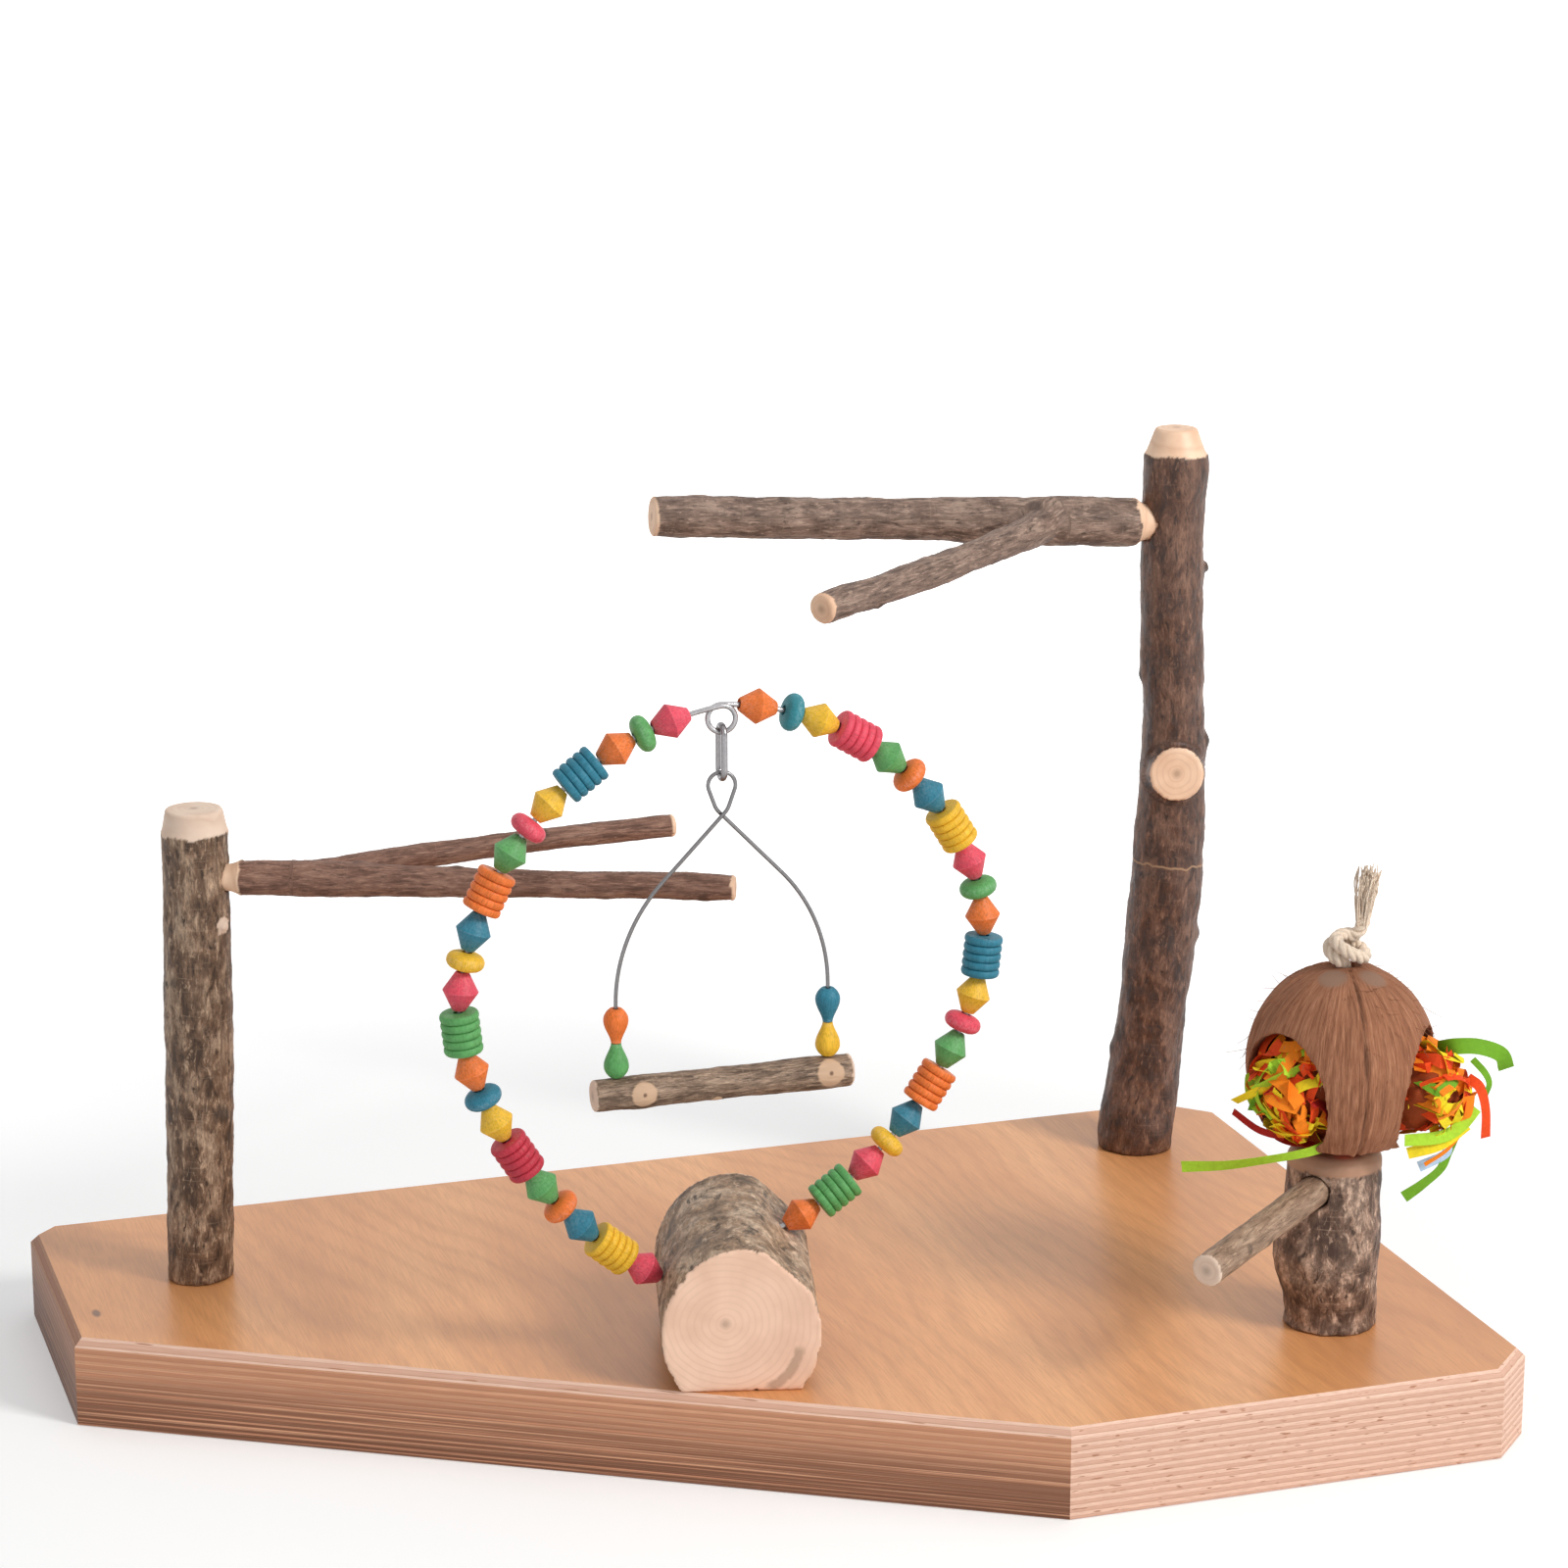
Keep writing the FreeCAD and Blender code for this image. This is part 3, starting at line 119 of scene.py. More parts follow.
class Shader:
    """A material with short calls for the nodes that the finishes here are made of."""

    def __init__(self, name):
        self.material = bpy.data.materials.new(name)
        self.material.use_nodes = True
        self.nodes = self.material.node_tree.nodes
        self.links = self.material.node_tree.links
        self.bsdf = self.nodes["Principled BSDF"]

    def link(self, value, socket):
        if isinstance(value, (int, float)):
            socket.default_value = value
        elif isinstance(value, tuple):
            socket.default_value = value + (1,) if len(socket.default_value) == 4 else value
        else:
            self.links.new(value, socket)

    def fill(self, node, **values):
        """Set or link a node's inputs by name."""
        for key, value in values.items():
            self.link(value, node.inputs[key.replace("_", " ")])
        return node

    def node(self, kind, *values, **settings):
        """A new node, with these values or links in its first inputs."""
        made = self.nodes.new("ShaderNode" + kind)
        for key, value in settings.items():
            setattr(made, key, value)
        for value, socket in zip(values, made.inputs):
            self.link(value, socket)
        return made

    def where(self):
        """Place in the object's own frame, in millimetres."""
        return self.scale(self.node("TexCoord").outputs["Object"], 1000)

    def attribute(self, name, output="Fac"):
        return self.node("Attribute", attribute_name=name).outputs[output]

    def scale(self, vector, factors):
        """The vector times one factor, or times a factor for each of its axes."""
        factors = factors if isinstance(factors, tuple) else (factors,) * 3
        return self.node("VectorMath", vector, factors, operation="MULTIPLY").outputs[0]

    def part(self, vector, axis):
        return self.node("SeparateXYZ", vector).outputs[axis]

    def join(self, x, y, z):
        return self.node("CombineXYZ", x, y, z).outputs[0]

    def math(self, operation, first, second=0.0):
        return self.node("Math", first, second, operation=operation).outputs[0]

    def times(self, first, second):
        return self.math("MULTIPLY", first, second)

    def plus(self, first, second):
        return self.math("ADD", first, second)

    def noise(self, vector, factors, detail=3.0, rough=0.5, twist=0.0):
        """Noise over the scaled vector: a smaller factor makes longer marks along its axis."""
        made = self.node("TexNoise", self.scale(vector, factors))
        return self.fill(made, Scale=1.0, Detail=detail, Roughness=rough, Distortion=twist).outputs[0]

    def cells(self, vector, factors):
        made = self.node("TexVoronoi", self.scale(vector, factors))
        return self.fill(made, Scale=1.0).outputs["Distance"]

    def ramp(self, value, *stops):
        """Colour ramp; a stop is a position and a colour or a grey level."""
        made = self.node("ValToRGB")
        bar = made.color_ramp
        while len(bar.elements) < len(stops):
            bar.elements.new(0.5)
        for element, (position, colour) in zip(bar.elements, stops):
            element.position = position
            grey = isinstance(colour, (int, float))
            element.color = (colour, colour, colour, 1) if grey else tuple(colour) + (1,)
        self.link(value, made.inputs[0])
        return made.outputs[0]

    def mix(self, share, first, second, blend="MIX"):
        made = self.node("Mix", data_type="RGBA", blend_type=blend)
        self.link(share, made.inputs[0])
        self.link(first, made.inputs[6])
        self.link(second, made.inputs[7])
        return made.outputs[2]

    def finish(self, colour, rough, height=None, bump=0.3, depth=0.4, **fixed):
        self.fill(self.bsdf, Base_Color=colour, Roughness=rough, **fixed)
        if height is not None:
            made = self.fill(self.node("Bump"), Strength=bump, Distance=depth * MM, Height=height)
            self.fill(self.bsdf, Normal=made.outputs[0])
        return self.material
# ---- finishes

BOARD_KNOT = (-285.9, 68.2)
DIAGONAL_EDGE = (-0.514, -0.857, 0)
PLY_PITCH = 3.42


def shade(colour, factor, lift=0.0):
    """The colour made darker or lighter, up to white."""
    return tuple(min(1.0, c * factor + lift) for c in colour)


def board_finish():
    """Thick multiplex: beech veneer on its faces, fine plies on its edges."""
    s = Shader("multiplex")
    at = s.where()
    x, y, z = (s.part(at, axis) for axis in range(3))
    normal = s.node("TexCoord").outputs["Normal"]
    flat_face = s.math("GREATER_THAN", s.math("ABSOLUTE", s.part(normal, 2)), 0.9)
    # veneer: the grain runs from front to back in soft arches, with short brown flecks
    warp = s.noise(at, (0.0065, 0.0026, 0.01), 2)
    across = s.plus(s.plus(x, s.times(y, 0.16)), s.times(warp, 190.0))
    wave = s.math("SINE", s.times(across, 0.42))
    arches = s.ramp(s.plus(0.5, s.times(wave, 0.5)), (0.0, 0), (0.62, 0.1), (1.0, 1))
    zones = s.noise(at, (0.017, 0.0045, 0.01), 3, 0.55)
    pores = s.noise(at, (1.2, 0.05, 1.0), 3, 0.62)
    flecks = s.ramp(s.noise(at, (1.25, 0.28, 1.0), 1), (0.69, 0), (0.76, 1))
    veneer = s.ramp(zones, (0.3, (0.62, 0.26, 0.094)), (0.5, (0.765, 0.345, 0.132)),
                    (0.7, (0.87, 0.43, 0.178)))
    veneer = s.mix(s.times(arches, 0.26), veneer, (0.52, 0.215, 0.085))
    veneer = s.mix(s.ramp(pores, (0.35, 0.4), (0.6, 0)), veneer, (0.5, 0.21, 0.085))
    veneer = s.mix(s.times(flecks, 0.35), veneer, (0.36, 0.17, 0.08))
    squeeze = 0.42  # the board's knot is longer from front to back
    spot = s.node("VectorMath", s.scale(at, (1.0, squeeze, 0.0)), (BOARD_KNOT[0], BOARD_KNOT[1] * squeeze, 0),
                  operation="DISTANCE").outputs["Value"]
    veneer = s.mix(s.ramp(s.times(spot, 0.1), (0.12, 0.85), (0.24, 0)), veneer, (0.13, 0.055, 0.03))
    # edges: plies by height; the diagonal edge is darker, with burnt streaks low down.  The
    # edge's middle factor picks a slice of the noise
    edge = s.join(s.plus(x, y), 1.0, z)
    height = s.plus(z, s.times(s.noise(at, (0.02, 0.02, 0.1)), 0.9))
    ply = s.math("FRACT", s.math("DIVIDE", height, PLY_PITCH))
    band = s.ramp(ply, (0.0, (0.5, 0.26, 0.175)), (0.06, (0.68, 0.4, 0.29)), (0.42, (0.72, 0.43, 0.315)),
                  (0.47, (0.6, 0.33, 0.235)), (0.53, (0.84, 0.56, 0.43)), (0.93, (0.87, 0.6, 0.465)),
                  (1.0, (0.55, 0.3, 0.205)))
    fibre = s.noise(edge, (0.16, 0.0, 2.6), 3, 0.65)
    band = s.mix(s.ramp(fibre, (0.35, 0.45), (0.6, 0)), band, (0.52, 0.27, 0.175))
    dashes = s.ramp(s.noise(edge, (0.13, 5.0, 0.85), 1), (0.665, 0), (0.7, 0.85))
    front = s.mix(dashes, band, (0.4, 0.165, 0.08))
    toned = s.mix(1.0, band, (0.95, 0.74, 0.56), "MULTIPLY")
    streak = s.noise(edge, (0.007, 2.0, 1.1), 4, 0.7)
    low = s.ramp(s.times(z, 0.025), (0.02, 1), (0.4, 0.75), (0.7, 0.25), (1.0, 0.1))
    burnt = s.times(s.ramp(streak, (0.38, 0), (0.5, 1)), low)
    toned = s.mix(burnt, toned, (0.16, 0.055, 0.022))
    cracks = s.ramp(s.noise(edge, (0.02, 9.0, 0.9), 2, 0.6), (0.7, 0), (0.72, 0.9))
    toned = s.mix(cracks, toned, (0.06, 0.022, 0.012))
    turned = s.node("VectorMath", normal, DIAGONAL_EDGE, operation="DOT_PRODUCT").outputs["Value"]
    diagonal = s.math("GREATER_THAN", turned, 0.9)
    sides = s.mix(diagonal, front, toned)
    # painted shade: the edges that face left take the diagonal edge's colour, darkened further by a multiply
    # that stands in for the shade on that side
    left_painted_shade = s.math("LESS_THAN", s.part(normal, 0), -0.6)
    sides = s.mix(left_painted_shade, sides, s.mix(1.0, toned, (0.5, 0.46, 0.42), "MULTIPLY"))
    colour = s.mix(flat_face, sides, veneer)
    rough = s.plus(0.36, s.times(s.math("SUBTRACT", 1.0, flat_face), 0.3))
    relief = s.mix(flat_face, s.plus(s.times(fibre, 0.5), s.times(ply, 0.6)), s.times(pores, 0.2))
    return s.finish(colour, rough, relief, 0.4, 0.3, Coat_Weight=0.15, Coat_Roughness=0.25)


def bark_finish(name, tones, sawn, patch=0.3, furrow=0.5, blotch=0.0, gloss=0.3, pale_knots=False,
                crack=None):
    """Bark outside, sawn wood where the 'bark' mask is 0.

    tones are the dark, middle and pale bark and sawn the wood and its yearly rings.  The vector
    'grain' holds millimetres along the branch, around it and out from its pith."""
    dark, middle, pale = tones
    cut, ring = sawn
    s = Shader(name)
    grain = s.attribute("grain", "Vector")
    mask = s.attribute("bark")
    mottled = s.noise(grain, (0.05, 0.14, 0.0), 6, 0.62, 0.4)
    fine = s.noise(grain, (0.3, 1.1, 0.0), 5, 0.7)
    cross_lines = s.noise(grain, (0.8, 0.05, 0.0), 3, 0.6)
    bark = s.ramp(mottled, (0.36, dark), (0.5, middle), (0.64, pale))
    flakes = s.noise(grain, (0.11, 0.42, 0.0), 6, 0.72, 0.5)
    bark = s.mix(s.ramp(flakes, (0.36, 1), (0.47, 0)), bark, shade(dark, 0.6))
    bark = s.mix(s.ramp(flakes, (0.54, 0), (0.63, 0.85)), bark, shade(pale, 1.25))
    bark = s.mix(s.ramp(fine, (0.38, furrow), (0.6, 0)), bark, shade(dark, 0.5))
    bark = s.mix(s.ramp(cross_lines, (0.6, 0), (0.72, 0.3)), bark, pale)
    spots = s.ramp(s.cells(grain, (0.13, 0.2, 0.0)), (0.06, 1), (0.15, 0))
    bark = s.mix(s.times(spots, patch), bark, shade(pale, 1.4))
    if blotch:
        stain = s.ramp(s.noise(grain, (0.09, 0.26, 0.0), 5, 0.68, 0.3), (0.46, 0), (0.54, blotch))
        bark = s.mix(stain, bark, shade(dark, 0.6))
    if crack is not None:
        wander = s.times(s.noise(grain, (0.0, 0.12, 0.0), 2), 7.0)
        gap = s.math("ABSOLUTE", s.math("SUBTRACT", s.plus(s.part(grain, 0), wander), crack))
        bark = s.mix(s.ramp(gap, (0.25, 0.8), (0.75, 0)), bark, (0.42, 0.25, 0.14))
    knot = s.attribute("knot")
    if pale_knots:
        bark = s.mix(s.ramp(s.plus(knot, s.times(flakes, 0.3)), (0.5, 0), (0.62, 0.85)), bark,
                     (0.66, 0.44, 0.29))
        bark = s.mix(s.ramp(s.times(knot, 0.8), (0.86, 0), (0.93, 0.9)), bark, (0.12, 0.055, 0.03))
    else:
        bark = s.mix(s.ramp(knot, (0.2, 0), (0.7, 0.75)), bark, shade(dark, 0.45))
    # sawn face: yearly rings round the pith
    radial = s.part(grain, 2)
    wobble = s.times(s.noise(s.where(), 0.05, 2), 4.0)
    yearly = s.math("FRACT", s.times(s.plus(radial, wobble), 0.34))
    soft_ring = tuple(0.6 * a + 0.4 * b for a, b in zip(cut, ring))
    wood = s.ramp(yearly, (0.0, soft_ring), (0.25, cut), (0.8, cut), (1.0, soft_ring))
    wood = s.mix(s.ramp(s.noise(s.where(), 0.06, 4), (0.42, 0), (0.66, 0.6)), wood, ring)
    wood = s.mix(s.ramp(s.times(radial, 0.05), (0.03, 0.6), (0.16, 0)), wood, shade(ring, 0.55))
    wood = s.mix(s.attribute("stain"), wood, shade(ring, 0.62))
    colour = s.mix(mask, wood, bark)
    relief = s.mix(mask, s.times(yearly, 0.1), s.mix(0.5, mottled, fine))
    rough = s.plus(0.78 - gloss, s.times(fine, 0.25))
    return s.finish(colour, rough, relief, 0.7, 0.8, Specular_IOR_Level=0.3 + 0.4 * gloss)


def dyed_wood(name, colour, worn=0.35):
    """Stained and waxed turned wood: the dye takes unevenly along the grain."""
    s = Shader(name)
    own = s.attribute("grain", "Vector")
    streak = s.noise(own, (0.16, 1.5, 1.5), 4, 0.6)
    cloud = s.noise(own, (0.12, 0.2, 0.2), 2, 0.5)
    deep = shade(colour, 0.66)
    light = shade(colour, 1.12, 0.03)
    base = s.ramp(streak, (0.3, deep), (0.5, colour), (0.74, light))
    base = s.mix(s.ramp(cloud, (0.35, 0.4), (0.65, 0)), base, deep)
    edge = s.attribute("edge")
    rubbed = s.times(edge, s.ramp(s.noise(own, 0.9), (0.42, 0), (0.6, worn)))
    base = s.mix(rubbed, base, shade(colour, 0.75, 0.22))
    groove = s.attribute("groove")
    base = s.mix(s.times(groove, 0.62), base, shade(colour, 0.35))
    rough = s.plus(0.42, s.times(streak, 0.2))
    return s.finish(base, rough, streak, 0.22, 0.3, Specular_IOR_Level=0.35)


def wire_finish(name, colour, rough):
    s = Shader(name)
    scratch = s.noise(s.where(), 0.9, 4, 0.6)
    tint = s.ramp(scratch, (0.3, shade(colour, 0.75)), (0.7, colour))
    return s.finish(tint, s.plus(rough, s.times(scratch, 0.12)), scratch, 0.1, 0.05, Metallic=1.0)


def coconut_finish():
    """Coir: coarse fibres that run from the crown down, over a dark shell; smooth near the eyes."""
    s = Shader("coir")
    grain = s.attribute("grain", "Vector")
    coarse = s.noise(grain, (0.05, 0.75, 0.0), 5, 0.68, 0.35)
    fine = s.noise(grain, (0.12, 2.6, 0.0), 4, 0.7, 0.2)
    base = s.ramp(coarse, (0.32, (0.2, 0.078, 0.04)), (0.5, (0.345, 0.145, 0.076)),
                  (0.66, (0.47, 0.22, 0.125)), (0.8, (0.58, 0.33, 0.2)))
    base = s.mix(s.ramp(fine, (0.34, 0.7), (0.5, 0)), base, (0.135, 0.05, 0.025))
    base = s.mix(s.ramp(fine, (0.58, 0), (0.72, 0.5)), base, (0.62, 0.34, 0.21))
    base = s.mix(s.attribute("bare"), base, (0.3, 0.175, 0.12))
    base = s.mix(s.times(s.attribute("groove"), 0.75), base, (0.05, 0.02, 0.012))
    base = s.mix(s.attribute("cut"), base, (0.13, 0.06, 0.035))
    relief = s.mix(0.5, coarse, fine)
    return s.finish(base, 0.78, relief, 0.8, 1.0, Specular_IOR_Level=0.22)


def paper_finish(name, colour):
    """Thin dyed paper: even colour and faint creases."""
    s = Shader(name)
    grain = s.noise(s.where(), 0.5, 3, 0.6)
    creases = s.noise(s.where(), 0.3, 3, 0.7, 1.2)
    base = s.ramp(grain, (0.25, shade(colour, 0.84)), (0.6, colour))
    return s.finish(base, 0.7, creases, 0.3, 0.5, Specular_IOR_Level=0.2)


def rope_finish():
    s = Shader("cotton")
    own = s.attribute("grain", "Vector")
    yarn = s.noise(own, (0.9, 3.2, 0.0), 4, 0.65)
    base = s.ramp(yarn, (0.3, (0.66, 0.5, 0.365)), (0.55, (0.9, 0.74, 0.59)), (0.75, (0.95, 0.85, 0.73)))
    return s.finish(base, 0.9, yarn, 0.8, 0.5, Specular_IOR_Level=0.15, Sheen_Weight=0.35)


# ---- mesh helpers

rng = np.random.default_rng(7)


def lattice(points, seed):
    """Smooth repeatable noise between -1 and 1 at each row of points."""
    cell = np.floor(points).astype(np.int64)
    part = points - cell
    part = part * part * (3 - 2 * part)
    total = np.zeros(len(points))
    for corner in range(8):
        step = np.array([corner & 1, corner >> 1 & 1, corner >> 2 & 1])
        key = (cell + step) @ np.array([73856093, 19349663, 83492791]) + seed * 1000003
        key = (key ^ (key >> 13)) * 1274126177 & 0xFFFFFFFF
        key = (key ^ (key >> 16)) & 0xFFFF
        weight = np.prod(np.where(step, part, 1 - part), axis=1)
        total += weight * (key / 32767.5 - 1)
    return total


def layered(points, seed, octaves=3):
    total = np.zeros(len(points))
    for k in range(octaves):
        total += lattice(points * 2 ** k, seed + k) * 0.5 ** k
    return total


def add_mesh(name, points, faces, smooth_angle=None):
    """Object from points in millimetres, which are stored in metres."""
    mesh = bpy.data.meshes.new(name)
    mesh.from_pydata((np.asarray(points) * MM).tolist(), [], faces)
    mesh.update()
    mesh.shade_smooth()
    if smooth_angle:
        mesh.set_sharp_from_angle(angle=radians(smooth_angle))
    return put(name, mesh)


def set_attributes(made, **attributes):
    """Give a mesh a number, or a row of three, at each of its points."""
    for name, values in attributes.items():
        values = np.asarray(values, dtype=np.float32)
        kind, key = ("FLOAT_VECTOR", "vector") if values.ndim == 2 else ("FLOAT", "value")
        layer = made.data.attributes.new(name, kind, "POINT")
        layer.data.foreach_set(key, values.ravel())


def read_rows(items, key):
    """Three numbers of each item, one item a row."""
    found = np.empty(len(items) * 3, dtype=np.float32)
    items.foreach_get(key, found)
    return found.reshape(-1, 3).astype(float)


def coordinates(mesh):
    """The points of a mesh, in millimetres."""
    return read_rows(mesh.vertices, "co") / MM


def push_out(made, points, shift):
    """Move the points of a mesh along its normals, by millimetres."""
    moved = points + read_rows(made.data.vertex_normals, "vector") * shift[:, None]
    made.data.vertices.foreach_set("co", (moved * MM).astype(np.float32).ravel())
    made.data.update()


def columns(*values):
    return np.stack(values, axis=1)


def unit(vector):
    return vector / norm(vector)


def unit_rows(vectors):
    return vectors / norm(vectors, axis=1)[:, None]


def remeshed(name, node, voxel):
    """An evenly divided copy of a CAD node, so that its surface can be worked."""
    copy = put(name + "_raw", NODES[node].data.copy())
    weld = copy.modifiers.new("weld", "WELD")
    weld.merge_threshold = 0.00001
    grid = copy.modifiers.new("grid", "REMESH")
    grid.mode = "VOXEL"
    grid.voxel_size = voxel * MM
    relax = copy.modifiers.new("relax", "SMOOTH")
    relax.factor = 0.5
    relax.iterations = 2
    bpy.context.view_layer.update()
    mesh = bpy.data.meshes.new_from_object(copy.evaluated_get(bpy.context.evaluated_depsgraph_get()))
    bpy.data.objects.remove(copy)
    mesh.name = name
    mesh.materials.clear()
    mesh.shade_smooth()
    return put(name, mesh)


def finish_piece(made, body, material, *nodes, slot=None):
    made.data.materials.clear()
    made.data.materials.append(material)
    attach(made, body)
    if nodes:
        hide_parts(*nodes)
    return made


# ---- branches

def nearest_on(points, line):
    """Distance along a polyline, the nearest point on it and its direction, for each point."""
    line = np.asarray(line, dtype=float)
    best = np.full(len(points), np.inf)
    along = np.zeros(len(points))
    foot = np.zeros_like(points)
    way = np.zeros_like(points)
    travelled = 0.0
    for start, end in zip(line, line[1:]):
        run = end - start
        length = norm(run)
        share = np.clip((points - start) @ run / length ** 2, 0, 1)
        place = start + share[:, None] * run
        gap = norm(points - place, axis=1)
        closer = gap < best
        best[closer] = gap[closer]
        along[closer] = travelled + share[closer] * length
        foot[closer] = place[closer]
        way[closer] = run / length
        travelled += length
    return best, along, foot, way


LINE_SHIFT = 731  # between the grain of one pith line and the next, so that their marks differ
TURN_LENGTH = 12  # millimetres of grain for each radian about the pith


def work_branch(node, material, lines, cuts, knots=(), voxel=1.1, rough=0.42, lumps=0.5, seed=1,
                slot=None, pith=(0, 0, 0), body="stand", name=None):
    """Bark relief and sawn faces on a branch.

    lines are the pith lines; cuts are (point, outward, depth, reach) of bare wood at its ends, and
    knots are (point, radius, lift) of the scars of its twigs."""
    made = remeshed(name or node + "_wood", node, voxel)
    points = coordinates(made.data)
    best = np.full(len(points), np.inf)
    along, around, radial = (np.zeros(len(points)) for _ in range(3))
    for index, line in enumerate(lines):
        gap, travel, foot, way = nearest_on(points, line)
        side = unit_rows(np.cross(way, (0.31, 0.17, 0.93)))
        up = np.cross(way, side)
        out = points - foot - pith
        angle = np.arctan2((out * up).sum(1), (out * side).sum(1))
        closer = gap < best
        best[closer] = gap[closer]
        along[closer] = travel[closer] + index * LINE_SHIFT
        around[closer] = (angle * TURN_LENGTH)[closer]
        radial[closer] = norm(out - way * (out * way).sum(1)[:, None], axis=1)[closer]
    bark = np.ones(len(points))
    for point, outward, depth, reach in cuts:
        outward = unit(np.asarray(outward, float))
        beyond = (points - point) @ outward
        ragged = layered(points * 0.22, seed + 40, 2) * min(1.0, depth * 0.2 + 0.25)
        near = norm((points - point) - beyond[:, None] * outward, axis=1) < reach
        bark = np.where(near & (beyond > -depth + ragged), 0.0, bark)
    knot = np.zeros(len(points))
    swell = np.zeros(len(points))
    for point, radius, lift in knots:
        gap = norm(points - point, axis=1) / radius
        knot = np.maximum(knot, np.clip(1.25 - gap, 0, 1.25))
        swell += lift * np.exp(-gap ** 2)
    turn = around / TURN_LENGTH
    wrap = columns(np.cos(turn), np.sin(turn), along * 0.05)
    relief = layered(wrap * 2.1, seed, 4) * rough + layered(points * 0.045, seed + 9, 2) * lumps
    fine = layered(columns(wrap[:, 0] * 9, wrap[:, 1] * 9, along * 0.22), seed + 20, 3)
    shift = (relief + fine * rough * 0.5 + swell) * bark + 0.1 * (1 - bark) - 0.15 * bark
    push_out(made, points, shift)
    set_attributes(made, grain=columns(along, around, radial), bark=bark, knot=knot)
    return finish_piece(made, body, material, node, slot=slot)


GREY_BROWN = ((0.06, 0.03, 0.015), (0.215, 0.125, 0.075), (0.5, 0.35, 0.24))
DARK_BROWN = ((0.042, 0.016, 0.009), (0.125, 0.054, 0.031), (0.24, 0.125, 0.08))
TWIG_BROWN = ((0.125, 0.055, 0.034), (0.245, 0.12, 0.08), (0.36, 0.2, 0.14))
WARM_GREY = ((0.11, 0.065, 0.046), (0.25, 0.16, 0.122), (0.4, 0.28, 0.215))
LOG_GREY = ((0.13, 0.083, 0.05), (0.43, 0.28, 0.178), (0.68, 0.51, 0.37))
STUMP_MOTTLED = ((0.075, 0.037, 0.023), (0.34, 0.208, 0.145), (0.68, 0.48, 0.36))
SWING_GREY = ((0.095, 0.056, 0.034), (0.255, 0.165, 0.11), (0.44, 0.31, 0.22))
PEG_GREY = ((0.225, 0.14, 0.088), (0.34, 0.215, 0.142), (0.46, 0.32, 0.22))
PALE_WOOD = ((0.8, 0.625, 0.5), (0.66, 0.46, 0.34))
FRESH_WOOD = ((0.92, 0.64, 0.45), (0.7, 0.41, 0.26))
LOG_WOOD = ((0.89, 0.6, 0.445), (0.74, 0.465, 0.325))
INNER_BARK = ((0.52, 0.3, 0.19), (0.32, 0.17, 0.105))


def add_posts():
    grey = bark_finish("bark_grey_brown", GREY_BROWN, PALE_WOOD, patch=0.35, furrow=0.55)
    brown = bark_finish("bark_dark_brown", DARK_BROWN, FRESH_WOOD, patch=0.25, furrow=0.55, gloss=0.42,
                        crack=150)
    left = [(-233.4, 99.6, 40), (-231.4, 99.6, 106), (-229.5, 99.6, 172), (-228.5, 99.6, 262)]
    work_branch(
        "left_post", grey, [left],
        [((-228.6, 99.6, 260), (0, 0, 1), 10.8, 30),
         ((-219.0, 87.2, 208.2), (0.61, -0.78, 0.1), 1.0, 4)],
        knots=[((-217.4, 90.5, 206.5), 4.2, 0.4), ((-243.5, 88.8, 183), 4.0, 0.8),
               ((-222, 86.6, 120), 4.5, 0.7)],
        seed=3, slot="branch_bark")
    right = [(240.1, 129.9, 40), (247.2, 129.9, 105), (254.6, 129.9, 191), (255.9, 129.9, 231),
             (253.2, 129.9, 315), (253.4, 129.9, 402)]
    stub = [(255.9, 129.9, 232), (248.6, 107.6, 235)]
    work_branch(
        "right_post", brown, [right, stub],
        [((253.4, 129.9, 400), (0, 0, 1), 12.6, 30),
         ((249.4, 110.0, 234.5), (-0.31, -0.95, 0.1), 1.2, 16)],
        knots=[((268.0, 125.0, 330), 4.5, 0.8), ((239.5, 134.0, 279), 3.6, 1.4),
               ((270.5, 123.5, 246), 4.0, 2.0), ((268.5, 124.0, 149), 4.5, 1.8),
               ((228.0, 135.0, 91), 3.5, 1.2)],
        seed=11, lumps=0.8, slot="dark_bark")


